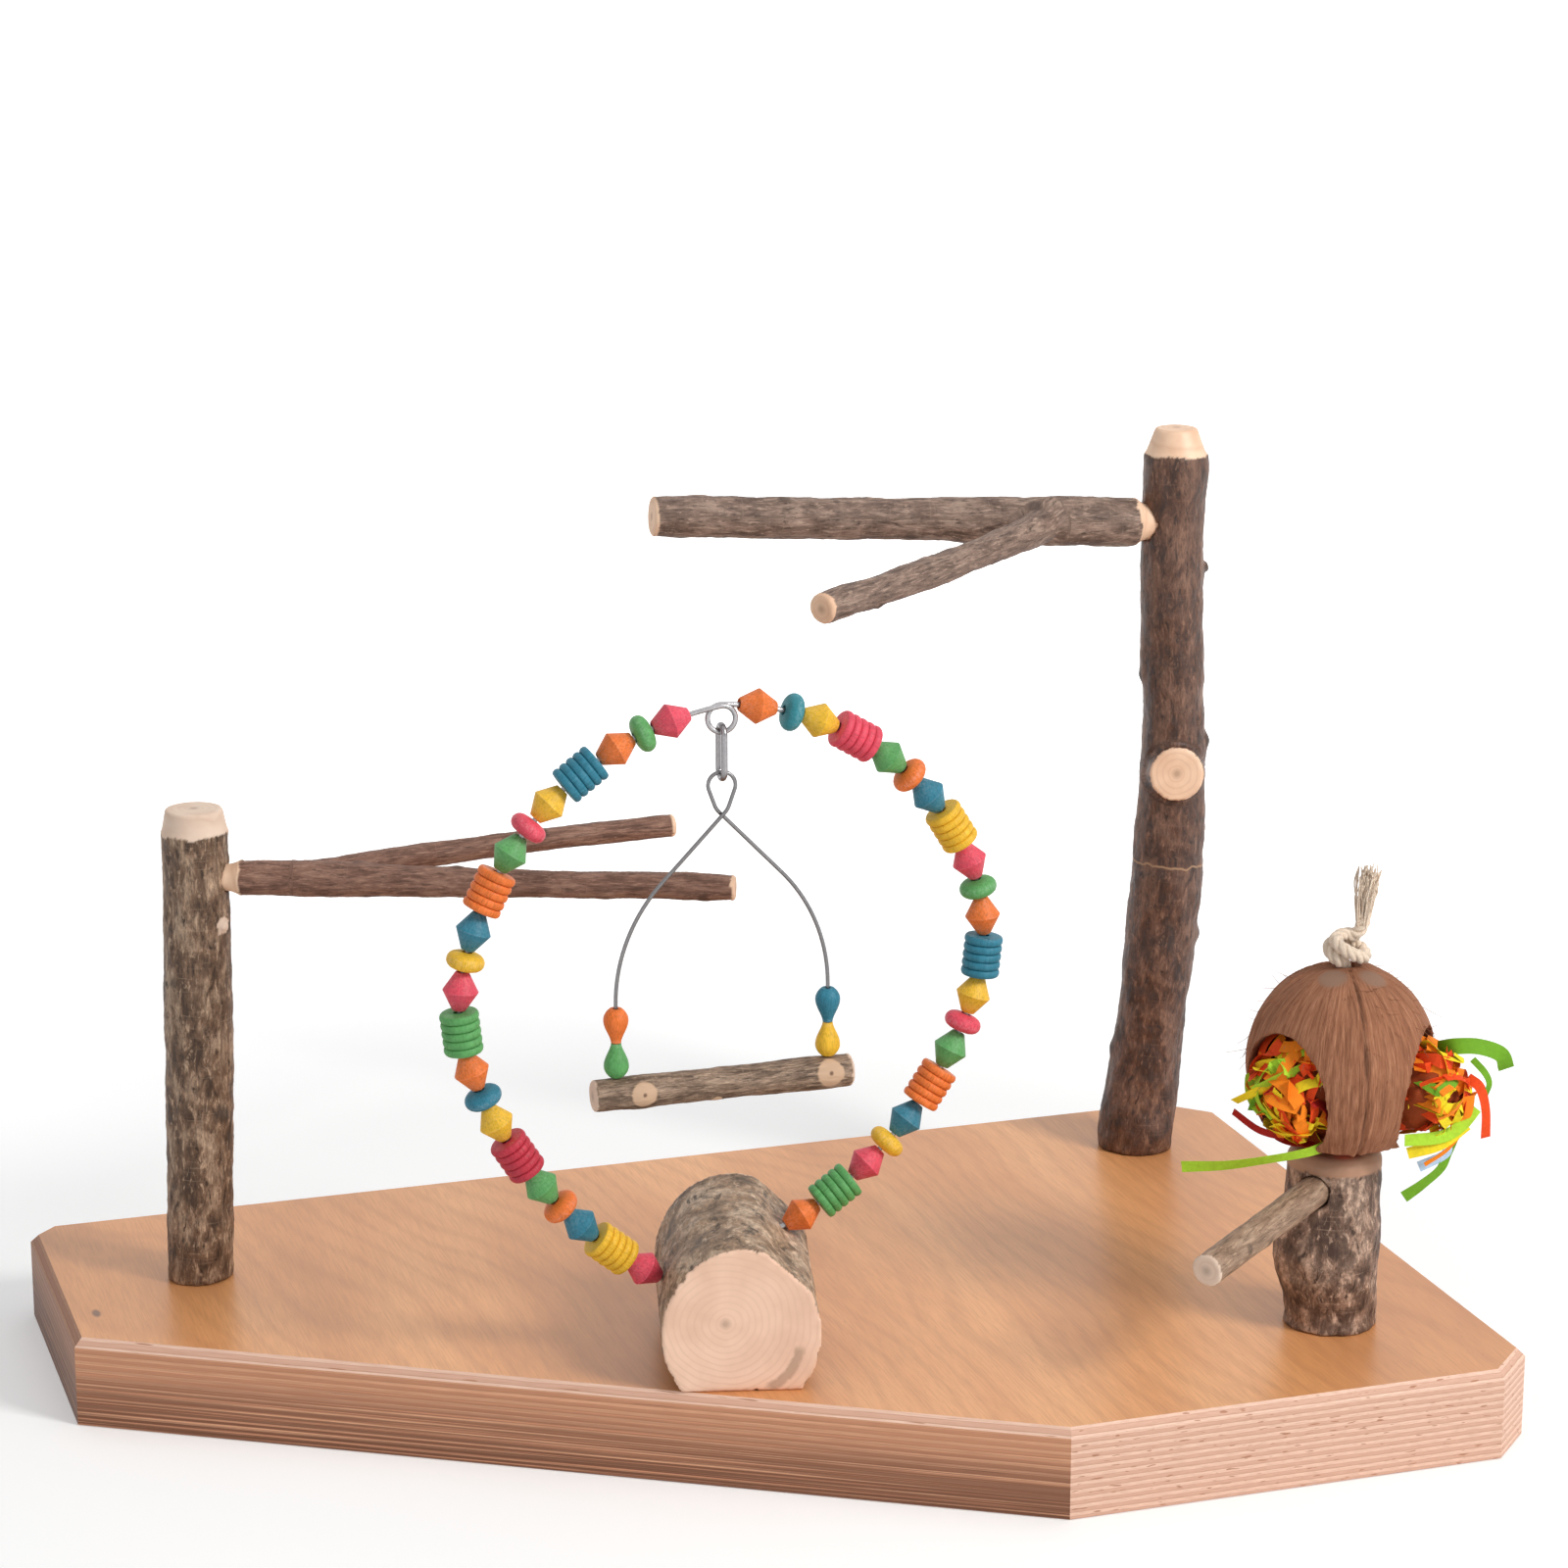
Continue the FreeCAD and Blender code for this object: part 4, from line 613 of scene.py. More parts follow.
def add_perches():
    twig = bark_finish("bark_twig", TWIG_BROWN, FRESH_WOOD, patch=0.4, furrow=0.4)
    warm = bark_finish("bark_warm_grey", WARM_GREY, FRESH_WOOD, patch=0.45, furrow=0.45)
    tip = (-6.2, 7.9, 228.6)
    back_tip = (-8.0, 98.9, 233.6)
    back_arm = [(-188, 82.8, 228.6), (-149, 93, 229.7), (-97, 98.5, 231.5), back_tip]
    work_branch(
        "left_perch", twig, [[(-228.7, 99.6, 228.6), tip], back_arm],
        [(tip, (0.925, -0.381, 0), 1.2, 12), (back_tip, (1, 0, 0.02), 0.9, 12),
         ((-214.5, 93.8, 228.6), (-0.925, 0.381, 0), 5.0, 14)],
        knots=[((-120, 55, 235), 3.5, 0.9), ((-60, 25, 222), 3.5, 1.0), ((-20, 10, 225), 3.0, 0.7),
               ((-70, 96, 236), 3.0, 0.9), ((-160, 74, 235), 3.5, 0.9)],
        voxel=0.9, rough=0.26, lumps=0.35, seed=23, slot="branch_bark")
    tip = (-1.9, 147.5, 369.0)
    front_tip = (36.6, 14.9, 350.0)
    front_arm = [(191.5, 134.2, 357.7), (150, 97, 355.5), (109, 63, 353.5), front_tip]
    work_branch(
        "right_perch", warm, [[(253.3, 129.9, 354.1), tip], front_arm],
        [(tip, (-1, 0.07, 0.06), 1.2, 16), (front_tip, (-0.8, -0.6, -0.02), 1.1, 12),
         ((237.5, 131, 355), (1, 0, 0), 5.0, 18)],
        knots=[((180, 126, 366), 4.5, 0.8), ((120, 132, 353), 4.0, 1.0), ((60, 140, 374), 4.0, 0.8),
               ((100, 50, 360), 3.5, 0.9), ((70, 32, 345), 3.2, 0.8)],
        voxel=1.0, rough=0.36, lumps=0.6, seed=61, slot="dark_bark")


SWING_DEPTH, SWING_LEVEL = -56.7, 161.8


def add_short_wood():
    """Stump with its peg, and the swing's perch."""
    mottled = bark_finish("bark_mottled", STUMP_MOTTLED, INNER_BARK, patch=0.4, blotch=0.6)
    work_branch(
        "stump", mottled, [[(232.2, -109.9, 40), (232.2, -109.9, 124)]],
        [((232.2, -109.9, 122), (0, 0, 1), 7.5, 30)], seed=31, lumps=0.6, slot="dark_bark")
    peg = bark_finish("bark_peg", PEG_GREY, PALE_WOOD, furrow=0.3)
    tip = (141.2, -178.5, 100)
    work_branch(
        "stump_perch", peg, [[(224.7, -115.6, 107), tip]],
        [(tip, (-0.797, -0.6, -0.065), 1.1, 12)],
        knots=[((165, -168, 103), 3.0, 0.5), ((180, -156, 100), 3.2, 0.5)],
        voxel=0.8, rough=0.16, lumps=0.2, seed=37, slot="peg_wood", name="peg_wood")
    grey = bark_finish("bark_swing", SWING_GREY, PALE_WOOD, pale_knots=True)
    ends = [(x, SWING_DEPTH, SWING_LEVEL) for x in (-90.2, -90.1, 25.6)]
    work_branch(
        "swing_perch", grey, [[ends[0], ends[2]]],
        [(ends[1], (-1, 0, 0), 1.1, 12), (ends[2], (1, 0, 0), 1.1, 12)],
        knots=[((-69, -63.8, 162.5), 6.6, 0.7), ((14.5, -63.6, 163.4), 7.2, 0.7),
               ((-36, -61, 155.5), 3.0, 0.5)],
        voxel=0.8, rough=0.24, lumps=0.3, seed=41, slot="branch_bark", body="swing")


def add_log():
    """The log that carries the ring, with a brown crescent low on the right of its front face."""
    bark = bark_finish("bark_log", LOG_GREY, LOG_WOOD, patch=0.2, furrow=0.55)
    axis = Vector((0.2504, 0.9681, 0))
    middle = Vector((-27.2, -59.1, 70.9))
    half_length = 47.5
    ends = [tuple(middle - axis * half_length), tuple(middle + axis * half_length)]
    made = work_branch(
        "ring_log", bark, [ends],
        [(ends[0], tuple(-axis), 0.7, 60), (ends[1], tuple(axis), 0.7, 60),
         ((-27, -59, 40), (0, 0, -1), 0.3, 60)],
        rough=0.5, seed=53, slot="pale_bark", pith=(-6.8, 1.8, 0))
    points = coordinates(made.data)
    out = points - np.array(middle)
    face = columns(out @ np.array([0.9681, -0.2504, 0.0]) - 3, out[:, 2] + 9)
    radius, turn = np.hypot(*face.T), np.degrees(np.arctan2(face[:, 1], face[:, 0]))
    radius = radius + layered(points * 0.3, 55, 2) * 0.8
    inner, outer, first, last = 19.5, 24.5, -72, -4
    crescent = np.clip((radius - inner) / 0.8, 0, 1) * np.clip((outer - radius) / 1.2, 0, 1)
    crescent *= np.clip((turn - first) / 8, 0, 1) * np.clip((last - turn) / 6, 0, 1)
    set_attributes(made, stain=crescent * 0.75)


# ---- beads

BEAD_BORE, DROP_BORE, DROP_LENGTH = 2.25, 1.3, 15.0


def lathe(profile, steps=40):
    """Closed (radius, height) profile turned about Z: points, faces and profile index."""
    points, faces = [], []
    count = len(profile)
    for k in range(steps):
        angle = 2 * pi * k / steps
        points += [(r * cos(angle), r * sin(angle), h) for r, h in profile]
    for k in range(steps):
        after = (k + 1) % steps
        for j in range(count):
            following = (j + 1) % count
            faces.append((k * count + j, after * count + j, after * count + following,
                          k * count + following))
    return np.array(points), faces, np.tile(np.arange(count), steps)


def bored(outer, edges, grooves=()):
    """An outline closed by its bore, and which of its points are worn edges and grooves."""
    return [(BEAD_BORE, outer[0][1])] + outer + [(BEAD_BORE, outer[-1][1])], edges, grooves


def cone_profile():
    half, end, wide = 8.3, 3.0, 7.6
    return bored([(end - 0.35, -half), (end, -half + 0.3), (wide - 0.25, -0.45), (wide, 0),
                  (wide - 0.25, 0.45), (end, half - 0.3), (end - 0.35, half)], {1, 2, 4, 6, 7})


def disc_profile():
    half, end, wide = 3.9, 3.0, 8.2
    outer = [(end, -half)]
    for k in range(9):
        angle = radians(-72 + 18 * k)
        outer.append((end + (wide - end) * cos(angle) ** 0.8, half * 0.98 * sin(angle)))
    return bored(outer + [(end, half)], {5, 6})


def barrel_profile():
    half, crest, ribs = 9.0, 8.4, 5
    pitch = 2 * half / ribs
    outer, grooves = [(crest - 1.6, -half)], set()
    for k in range(ribs):
        middle = -half + pitch * (k + 0.5)
        for step in range(7):
            angle = radians(-66 + 22 * step)
            outer.append((crest - 1.25 + 1.25 * cos(angle), middle + pitch * 0.46 * sin(angle) / 0.914))
        if k < ribs - 1:
            grooves.add(len(outer) + 1)
            outer.append((crest - 1.35, middle + pitch / 2))
    outer.append((crest - 1.6, half))
    return bored(outer, {1, 2, len(outer)}, grooves)


def drop_profile(wide=5.4, widest=0.68):
    """Slim neck that swells to two thirds of the length and rounds off above it."""
    outer = []
    for k in range(17):
        share = k / 16
        if share < widest:
            radius = wide * (0.4 + 0.6 * sin(pi / 2 * share / widest) ** 1.6)
        else:
            radius = wide * (0.5 + 0.5 * max(0.0, cos(pi / 2 * (share - widest) / 0.32)) ** 0.8)
        outer.append((radius, DROP_LENGTH * share))
    return [(DROP_BORE, 0)] + outer + [(DROP_BORE, DROP_LENGTH)], {1, 2}, ()


def bead_axis(node):
    """Centre and turning axis of a CAD bead, read from its solid."""
    points = coordinates(NODES[node].data)
    points = np.unique(np.round(points, 3), axis=0)
    centre = points.mean(0)
    values, vectors = np.linalg.eigh(np.cov((points - centre).T))
    odd = 0 if values[1] - values[0] > values[2] - values[1] else 2
    return centre, vectors[:, odd]


def oriented(points, centre, axis, spin):
    axis = unit(axis)
    side = unit(np.cross(axis, (0.0, 1.0, 0.001)))
    other = np.cross(axis, side)
    turned_side = side * cos(spin) + other * sin(spin)
    turned_other = np.cross(axis, turned_side)
    return centre + points[:, :1] * turned_side + points[:, 1:2] * turned_other + points[:, 2:3] * axis


DYES = {"pink": (0.76, 0.07, 0.115), "red": (0.52, 0.03, 0.055), "green": (0.105, 0.36, 0.105),
        "orange": (0.83, 0.185, 0.03), "blue": (0.024, 0.195, 0.285), "teal": (0.03, 0.245, 0.295),
        "yellow": (0.87, 0.5, 0.028)}
ROUND = "pink green orange blue yellow "
LEFT_DYES = (ROUND * 3 + "red green orange blue yellow pink").split()
RIGHT_DYES = ("orange teal yellow " + ROUND * 3 + "pink green orange").split()
KINDS = ["cone", "disc", "cone", "barrel"] * 5 + ["cone"]


def add_bead(name, profile, node, centre, axis, spin, body, material, slot):
    outline, edges, grooves = profile
    points, faces, index = lathe(outline)
    made = add_mesh(name, oriented(points, centre, axis, spin), faces, 34)
    own = columns(points[:, 0] + 40 * rng.random(), points[:, 2] + 90 * rng.random(), points[:, 1])
    # the grain of the wood runs along the bore
    set_attributes(made, grain=own[:, [1, 0, 2]], edge=np.isin(index, list(edges)),
                   groove=np.isin(index, list(grooves)))
    return finish_piece(made, body, material, node, slot=slot)


def add_beads():
    dyes = {name: dyed_wood("dye_" + name, colour) for name, colour in DYES.items()}
    profiles = {"cone": cone_profile(), "disc": disc_profile(), "barrel": barrel_profile()}
    body_of = {node: body for body, members in frame["record"]["behaviour"]["bodies"].items()
               for node in members}
    for side, order in (("left", LEFT_DYES), ("right", RIGHT_DYES)):
        for k, dye in enumerate(order):
            node = "%s_bead_%02d" % (side, k + 1)
            centre, axis = bead_axis(node)
            add_bead("%s_%s_%02d" % (dye, KINDS[k], k + 1 + (30 if side == "right" else 0)),
                     profiles[KINDS[k]], node, centre, axis, rng.random() * 6.28, body_of[node],
                     dyes[dye], "bead_" + dye)
    foot = SWING_LEVEL + 7.2 * 1.03 + 0.3
    for side, x, pair in (("left", -79.4, ("green", "orange")), ("right", 15.2, ("yellow", "blue"))):
        for level, dye in enumerate(pair):
            place, up = np.array([x, SWING_DEPTH, foot + (DROP_LENGTH + 0.3) * level]), UP
            if level == 0:  # the lower drop stands on its head
                place, up = place + UP * DROP_LENGTH, -UP
            add_bead("%s_drop_%s" % (side, dye), drop_profile(), side + "_swing_beads", place, up,
                     rng.random() * 6.28, "swing_beads_" + side, dyes[dye], "bead_" + dye)


# ---- coconut, paper, rope

COCONUT = np.array([234.0, -109.9, 159.3])
SHELL_WIDE, SHELL_HIGH = 42, 46


def on_shell(turn, tilt, lift=0.0):
    """Place on the shell by its turn about the axis and its tilt from the crown, in degrees."""
    turn, tilt = radians(turn), radians(tilt)
    spread = (SHELL_WIDE + lift) * sin(tilt)
    return COCONUT + (spread * cos(turn), spread * sin(turn), (SHELL_HIGH + lift) * cos(tilt))


EYES = ((-138, 19, 6.2), (-62, 21, 6.0), (80, 20, 5.6))
RIDGES = (-101, 19, 139)


def add_coconut():
    """Coir over the shell: three seams, smooth eyes near the crown and cut window edges."""
    made = remeshed("coconut_coir", "coconut_shell", 0.9)
    points = coordinates(made.data)
    out = points - COCONUT
    radius = norm(out / (SHELL_WIDE, SHELL_WIDE, SHELL_HIGH), axis=1)
    angle = np.arctan2(out[:, 1], out[:, 0])
    polar = np.arccos(np.clip(out[:, 2] / SHELL_HIGH / np.maximum(radius, 0.1), -1, 1))
    outer = radius > 0.965
    bare = np.zeros(len(points))
    for turn, tilt, size in EYES:
        gap = norm(points - on_shell(turn, tilt), axis=1)
        bare = np.maximum(bare, np.clip((size + 1.2 - gap) / 2.4, 0, 1))
    wrap = columns(np.cos(angle) * 6, np.sin(angle) * 6, polar * 0.9)
    fibre = layered(columns(np.cos(angle) * 16, np.sin(angle) * 16, polar * 1.8), 71, 3)
    seam = np.min([np.abs(np.angle(np.exp(1j * (angle - radians(t))))) for t in RIDGES], axis=0) * 40
    seam = seam + layered(columns(polar * 4, polar * 0, polar * 0), 77, 2) * 0.5
    ridge = np.exp(-((seam - 2.4) / 1.4) ** 2) * 0.55 - np.exp(-(seam / 0.9) ** 2) * 0.9
    shift = (fibre * 0.32 + layered(wrap, 75, 2) * 0.3 + ridge) * outer * (1 - bare) - 0.35 * outer
    push_out(made, points, shift)
    set_attributes(made, grain=columns(polar * 44, angle * 30, polar * 0), bare=bare * outer, cut=~outer,
                   groove=np.exp(-(seam / 0.8) ** 2) * outer * (1 - bare))
    coir = coconut_finish()
    finish_piece(made, "coconut", coir, "coconut_shell", slot="coconut")
    own = np.random.default_rng(29)
    hairs = ([], [])
    for _ in range(90):
        turn, tilt = own.uniform(-180, 180), own.uniform(24, 88)
        root = on_shell(turn, tilt, -0.6)
        out = unit(root - COCONUT)
        down = np.cross(np.cross(out, -UP), out)
        length = own.uniform(3, 10)
        bend = own.normal(0, 0.35, 3)
        path = smooth_path([root, root + (out * 0.35 + down * 0.8 + bend * 0.5) * length * 0.5,
                            root + (out * 0.5 + down * 0.9 + bend) * length], 4)
        gather(hairs, tube(path, np.linspace(0.16, 0.06, len(path)), 4))
    finish_piece(add_mesh("coir_hairs", *hairs), "coconut", coir, slot="coconut")


WINDOWS = [radians(-159.3 + 120 * k) for k in range(3)]
WINDOW_DROP, WINDOW_HALF_WIDE, WINDOW_HALF_HIGH = 6.5, 21.0, 24.5
PAPER_RADIUS, SWELL_RADIUS = 37.6, 22
SWELLS = [46.0, 57.0, 51.0]
SHELL_INSIDE = np.array([36.8, 36.8, 40.8])


def heading(turn):
    """The level direction at a turn about the upright axis, and the one to its left."""
    return np.array([cos(turn), sin(turn), 0]), np.array([-sin(turn), cos(turn), 0])


def paper_depth(points):
    """Distance outside the stuffing's own surface; negative inside."""
    depth = norm(points - COCONUT, axis=-1) - PAPER_RADIUS
    for turn, reach in zip(WINDOWS, SWELLS):
        centre = COCONUT + heading(turn)[0] * (reach - SWELL_RADIUS) - UP * WINDOW_DROP
        depth = np.minimum(depth, norm(points - centre, axis=-1) - SWELL_RADIUS)
    return depth


def paper_out(point):
    """Direction that leads out of the stuffing."""
    slope = np.array([paper_depth(point + step) - paper_depth(point - step) for step in np.eye(3) * 0.4])
    return slope / max(norm(slope), 1e-6)


def strip_mesh(centres, flats, outs, wide):
    """Closed thin strip of paper; flats run across it and outs stand on it."""
    thick = 0.16
    points = []
    for place, across, out in zip(centres, flats, outs):
        half, lift = across * wide / 2, out * thick / 2
        points += [place - half - lift, place + half - lift, place + half + lift, place - half + lift]
    return points, ring_faces(len(centres), 4)


def settle(place, sideways):
    """Keep a strip at the stuffing's surface in its window, and under the shell beside it."""
    level, limit = paper_depth(place), 0.8
    if level > limit:
        place = place - paper_out(place) * (level - limit)
    out = place - COCONUT
    beside = (out @ sideways / WINDOW_HALF_WIDE) ** 2 + ((out[2] + WINDOW_DROP) / WINDOW_HALF_HIGH) ** 2
    inside = norm(out / SHELL_INSIDE)
    if beside > 0.85 and inside > 1:
        place = COCONUT + out / inside
    return place


def shred(own, place, way, length, sideways):
    """Centres, cross directions and normals of one strip that curls in and out of the heap."""
    step = 1.4
    curl, dive, tilt = own.normal(0, 0.035), own.uniform(-0.01, 0.085), own.normal(0, 0.55)
    centres, flats, outs = [], [], []
    for _ in range(int(length / step)):
        out = paper_out(place)
        side = np.cross(out, way)
        side = unit(side)
        across = side * cos(tilt) + out * sin(tilt)
        normal = np.cross(way, across)
        centres.append(place)
        flats.append(across)
        outs.append(unit(normal))
        way = way + side * curl * step - out * dive * step
        if own.random() < 0.045:
            way = way * 0.3 + side * own.normal(0, 0.9) + out * own.uniform(-0.9, 0.5)
            tilt += own.normal(0, 0.5)
        way = unit(way)
        place = settle(place + way * step, sideways)
    return centres, flats, outs


PAPERS = {"scarlet": (0.84, 0.075, 0.012), "orange": (0.95, 0.25, 0.012), "yellow": (0.97, 0.76, 0.025),
          "lime": (0.44, 0.74, 0.045), "green": (0.165, 0.39, 0.022), "crimson": (0.42, 0.016, 0.012),
          "sky": (0.52, 0.7, 0.9)}
HEAP_SHARES = (0.3, 0.29, 0.27, 0.06, 0.02, 0.05, 0.01)
HEAP_STRIPS = 95  # in each window

# strips that hang out: colour, width and points to the right of the axis, above the shell's
# centre and towards the front, as the stand is seen from its front left
LOOSE_STRIPS = [
    ("lime", 5.0, [(-6, -27, 26), (-18, -30, 30), (-34, -33.5, 29), (-52, -38, 24), (-70.5, -40.8, 18)]),
    ("lime", 4.4, [(-21, 7.0, 27), (-30, 4.0, 29), (-41, -3.5, 24)]),
    ("yellow", 4.6, [(-30, 1.0, 26), (-40, -4.5, 24), (-48.5, -11.0, 18)]),
    ("crimson", 3.6, [(-27, -25, 24), (-38, -22.5, 22), (-48.5, -16.5, 15)]),
    ("green", 4.0, [(-33, -8, 22), (-39, -10, 19), (-41, -15, 18)]),
    ("green", 7.0, [(40, 10.5, 10), (47, 13.2, 15), (57, 13.0, 15), (67, 8.5, 12), (70.3, 1.0, 9)]),
    ("green", 3.0, [(54, 8, 17), (59.5, 2, 18), (61.5, -3, 18), (60, -8.5, 17)]),
    ("scarlet", 4.6, [(52, 0, 18), (57.5, -4.5, 19), (60.5, -15, 18), (61.5, -28.5, 15)]),
    ("lime", 5.4, [(24, -24.5, 30), (40, -24, 27), (49, -20, 24), (56, -13.5, 19)]),
    ("yellow", 5.2, [(26, -31.5, 27), (40, -27.2, 27), (52, -20.5, 21)]),
    ("orange", 2.2, [(51, -17, 21), (50.5, -24, 19), (44, -33, 19), (34.5, -38.8, 21)]),
    ("sky", 4.8, [(51, -15, 19), (51.5, -22, 16), (46, -31, 14), (44.5, -37, 13), (33, -42.0, 15)]),
    ("green", 5.2, [(48, -29, 12), (45.5, -37, 12), (43, -44, 12), (35, -50.5, 14), (27, -56, 15)]),
]
SEEN_RIGHT = np.array([0.9504, -0.3112, 0.0])
SEEN_FRONT = np.array([-0.3112, -0.9504, 0.0])


def loose_strip(path):
    """A free strip along a smooth path, its flat side to the front and twisted a little."""
    centres = [np.asarray(p) for p in path]
    ways = np.gradient(np.array(centres), axis=0)
    flats, outs = [], []
    for k, way in enumerate(ways):
        way = unit(way)
        across = unit(np.cross(way, SEEN_FRONT))
        twist = sin(k * 0.09) * 0.5
        out = np.cross(across, way)
        flats.append(across * cos(twist) + out * sin(twist))
        outs.append(np.cross(way, flats[-1]))
    return centres, flats, outs


def add_paper():
    """Shredded paper: a core that fills the shell, heaps of strips in the windows, loose ends."""
    core = remeshed("paper_core", "paper_stuffing", 1.6)
    points = coordinates(core.data)
    push_out(core, points, layered(points * 0.14, 81, 3) * 1.6 - 4.2)
    finish_piece(core, "coconut", paper_finish("paper_inside", (0.3, 0.05, 0.01)), "paper_stuffing",
                 slot="paper_strips")
    own = np.random.default_rng(19)
    batches = {name: ([], []) for name in PAPERS}
    names = list(PAPERS)
    for turn in WINDOWS:
        outward, sideways = heading(turn)
        for _ in range(HEAP_STRIPS):
            place = COCONUT + outward * 30 + sideways * own.uniform(-18, 18) + UP * own.uniform(-29, 15)
            for _ in range(10):
                place = place - outward * paper_depth(place) * 0.6
            place = settle(place - outward * own.uniform(0, 5), sideways)
            angle = own.uniform(0, 2 * pi)
            way = sideways * cos(angle) + UP * sin(angle)
            strip = shred(own, place, way, own.uniform(16, 44), sideways)
            name = names[own.choice(len(names), p=HEAP_SHARES)]
            gather(batches[name], strip_mesh(*strip, own.uniform(4.0, 6.4)))
    loose = [(name, wide, [COCONUT + SEEN_RIGHT * a + UP * b + SEEN_FRONT * c for a, b, c in route])
             for name, wide, route in LOOSE_STRIPS]
    # a few loose ends behind, where the third window is
    outward, sideways = heading(WINDOWS[2])
    for name, shove, lift, reach in (("yellow", -14, 4, 15), ("scarlet", 8, -22, 17), ("lime", 15, -8, 13),
                                     ("orange", -4, -26, 12)):
        start = COCONUT + outward * 42 + sideways * shove + UP * lift
        loose.append((name, 4.6, [start, start + outward * reach * 0.5 + sideways * shove * 0.2 + UP * 2,
                                  start + outward * reach + sideways * shove * 0.6 - UP * 9]))
    for name, wide, route in loose:
        gather(batches[name], strip_mesh(*loose_strip(smooth_path(route, 9)), wide))
    for name, batch in batches.items():
        strips = add_mesh("paper_" + name, *batch, 25)
        finish_piece(strips, "coconut", paper_finish("tissue_" + name, PAPERS[name]), slot="paper_strips")


def gather(batch, made):
    """Add a mesh's points, faces and, where the batch has a list for it, grain to a batch."""
    offset = len(batch[0])
    batch[1].extend(tuple(i + offset for i in face) for face in made[1])
    for kept, more in zip(batch[::2], made[::2]):
        kept.extend(more)


def ring_faces(rings, sides):
    """Faces between closed rings of points, and a cap at each end."""
    last = (rings - 1) * sides
    faces = []
    for start in range(0, last, sides):
        for j in range(sides):
            after = start + (j + 1) % sides
            faces.append((start + j, after, after + sides, start + j + sides))
    return faces + [tuple(reversed(range(sides))), tuple(range(last, last + sides))]


def along_path(path):
    """Direction, a side that twists as little as it can, and the way travelled at each point."""
    ways = unit_rows(np.gradient(path, axis=0))
    side = np.cross(ways[0], (0.3, 0.9, 0.2))
    sides = []
    for way in ways:
        side = unit(side - way * (side @ way))
        sides.append(side)
    return ways, sides, np.concatenate([[0], np.cumsum(norm(np.diff(path, axis=0), axis=1))])


def tube(path, radii, sides=8):
    """Round tube along a smooth path, with millimetres along and around it for its finish."""
    path = np.asarray(path, float)
    radii = np.broadcast_to(radii, len(path))
    points, grain = [], []
    for place, radius, way, side, travel in zip(path, radii, *along_path(path)):
        other = np.cross(way, side)
        for j in range(sides):
            angle = 2 * pi * j / sides
            points.append(place + (side * cos(angle) + other * sin(angle)) * radius)
            grain.append((travel, angle * radius, 0))
    return points, ring_faces(len(path), sides), grain


def laid(path, radius, lay=11.0, strands=3):
    """Twisted rope: strands wound round a path."""
    path = np.asarray(path, float)
    ways, sides, travel = along_path(path)
    made = ([], [], [])
    for k in range(strands):
        phase = travel / lay * 2 * pi + 2 * pi * k / strands
        centre = []
        for place, way, side, angle in zip(path, ways, sides, phase):
            centre.append(place + (side * cos(angle) + np.cross(way, side) * sin(angle)) * radius * 0.5)
        gather(made, tube(centre, radius * 0.54))
    return made


def smooth_path(points, per=14):
    """Catmull-Rom curve through points."""
    points = [np.array(p, float) for p in points]
    points = [2 * points[0] - points[1]] + points + [2 * points[-1] - points[-2]]
    path = []
    for a, b, c, d in zip(points, points[1:], points[2:], points[3:]):
        for k in range(per):
            t = k / per
            path.append(0.5 * ((2 * b) + (c - a) * t + (2 * a - 5 * b + 4 * c - d) * t * t
                               + (3 * b - a - 3 * c + d) * t ** 3))
    path.append(points[-2])
    return path


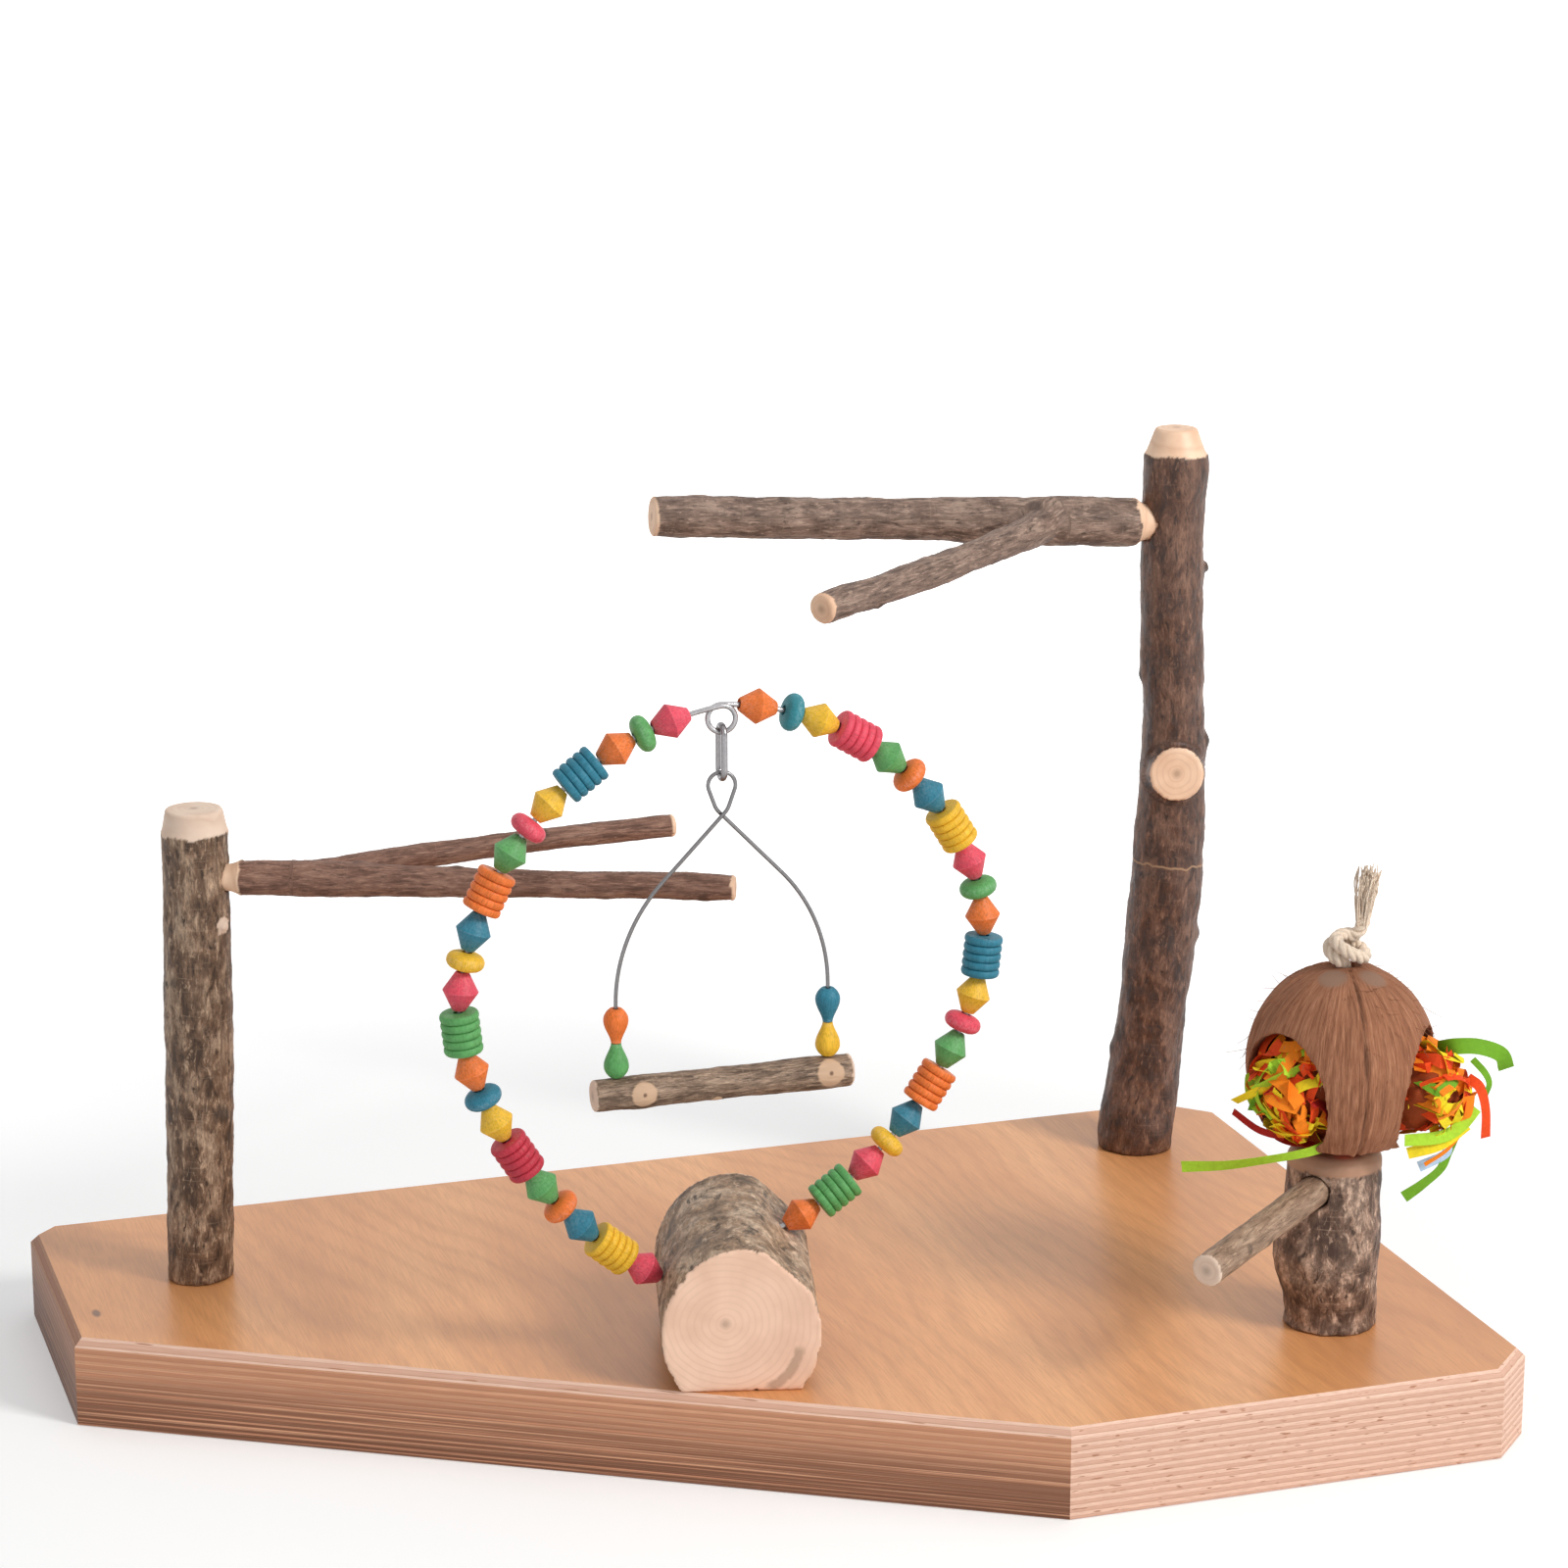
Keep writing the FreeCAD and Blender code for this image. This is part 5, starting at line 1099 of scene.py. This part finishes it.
def add_rope():
    """Overhand knot on the crown of the shell and the frayed end above it."""
    base = np.array([234.0, -109.9, 205.6])  # the crown of the shell
    knot = [(0, 0, -16), (0, 0, -2), (-5.6, -2.4, 3.0), (-6.4, 3.6, 7.0), (1.5, 6.6, 8.2), (8.6, 2.5, 5.0),
            (6.2, -5.0, 3.4), (-1.5, -6.4, 6.6), (-5.6, -1.2, 10.8), (0.4, 3.2, 12.0), (5.0, 1.8, 11.8),
            (7.6, 0.6, 16.0), (8.6, 0.2, 21.5)]
    path = smooth_path([base + p for p in knot])
    rope = laid(path, 2.95)
    own = np.random.default_rng(5)
    root = base + knot[-2]
    for _ in range(150):
        spread = own.normal(0, 1, 2)
        top = root + (2.6 + spread[0] * 2.3, spread[1] * 2.3, own.uniform(17, 27))
        middle = root + (0.8 + spread[0] * 1.7, spread[1] * 1.7, own.uniform(8, 12))
        curl = own.normal(0, 1.1, 3)
        fibre = smooth_path([root + (spread[0] * 0.9, spread[1] * 0.9, -1.0), middle,
                             top * 0.5 + middle * 0.5 + curl, top], 5)
        gather(rope, tube(fibre, own.uniform(0.22, 0.42), 5))
    made = add_mesh("cotton_rope_laid", *rope[:2])
    set_attributes(made, grain=rope[2])
    finish_piece(made, "stand", rope_finish(), "cotton_rope", slot="rope_cotton")


# ---- carried-over pieces and floor

def dress(node, material):
    slots = NODES[node].material_slots
    if not slots:
        NODES[node].data.materials.append(material)
    for place in NODES[node].material_slots:
        place.material = material


def add_floor():
    """White floor that keeps the shadows near the stand and fades to plain white further off."""
    half, level = 30000.0, -0.4
    floor = add_mesh("floor", [(-half, -half, level), (half, -half, level), (half, half, level),
                               (-half, half, level)], [(0, 1, 2, 3)])
    s = Shader("white_floor")
    far = s.node("VectorMath", s.node("TexCoord").outputs["Object"], operation="LENGTH")
    lift = s.ramp(s.times(far.outputs["Value"], 0.25), (0.1, 0.2), (0.34, 1))
    s.fill(s.bsdf, Emission_Strength=s.times(lift, seen_share(s.nodes, s.links)), Emission_Color=(1, 1, 1))
    floor.data.materials.append(s.finish((0.86, 0.86, 0.86), 0.8, Specular_IOR_Level=0.1))


add_camera()
add_lights()
add_floor()
dress("base_board", board_finish())
dress("ring_wire", wire_finish("spring_steel", (0.4, 0.39, 0.4), 0.28))
dress("swing_wire", wire_finish("swing_steel", (0.22, 0.215, 0.22), 0.3))
dress("chain_link", wire_finish("zinc_link", (0.3, 0.29, 0.3), 0.25))
dress("wood_screws", wire_finish("screw_zinc", (0.6, 0.6, 0.6), 0.3))
add_posts()
add_perches()
add_short_wood()
add_log()
add_beads()
add_coconut()
add_paper()
add_rope()
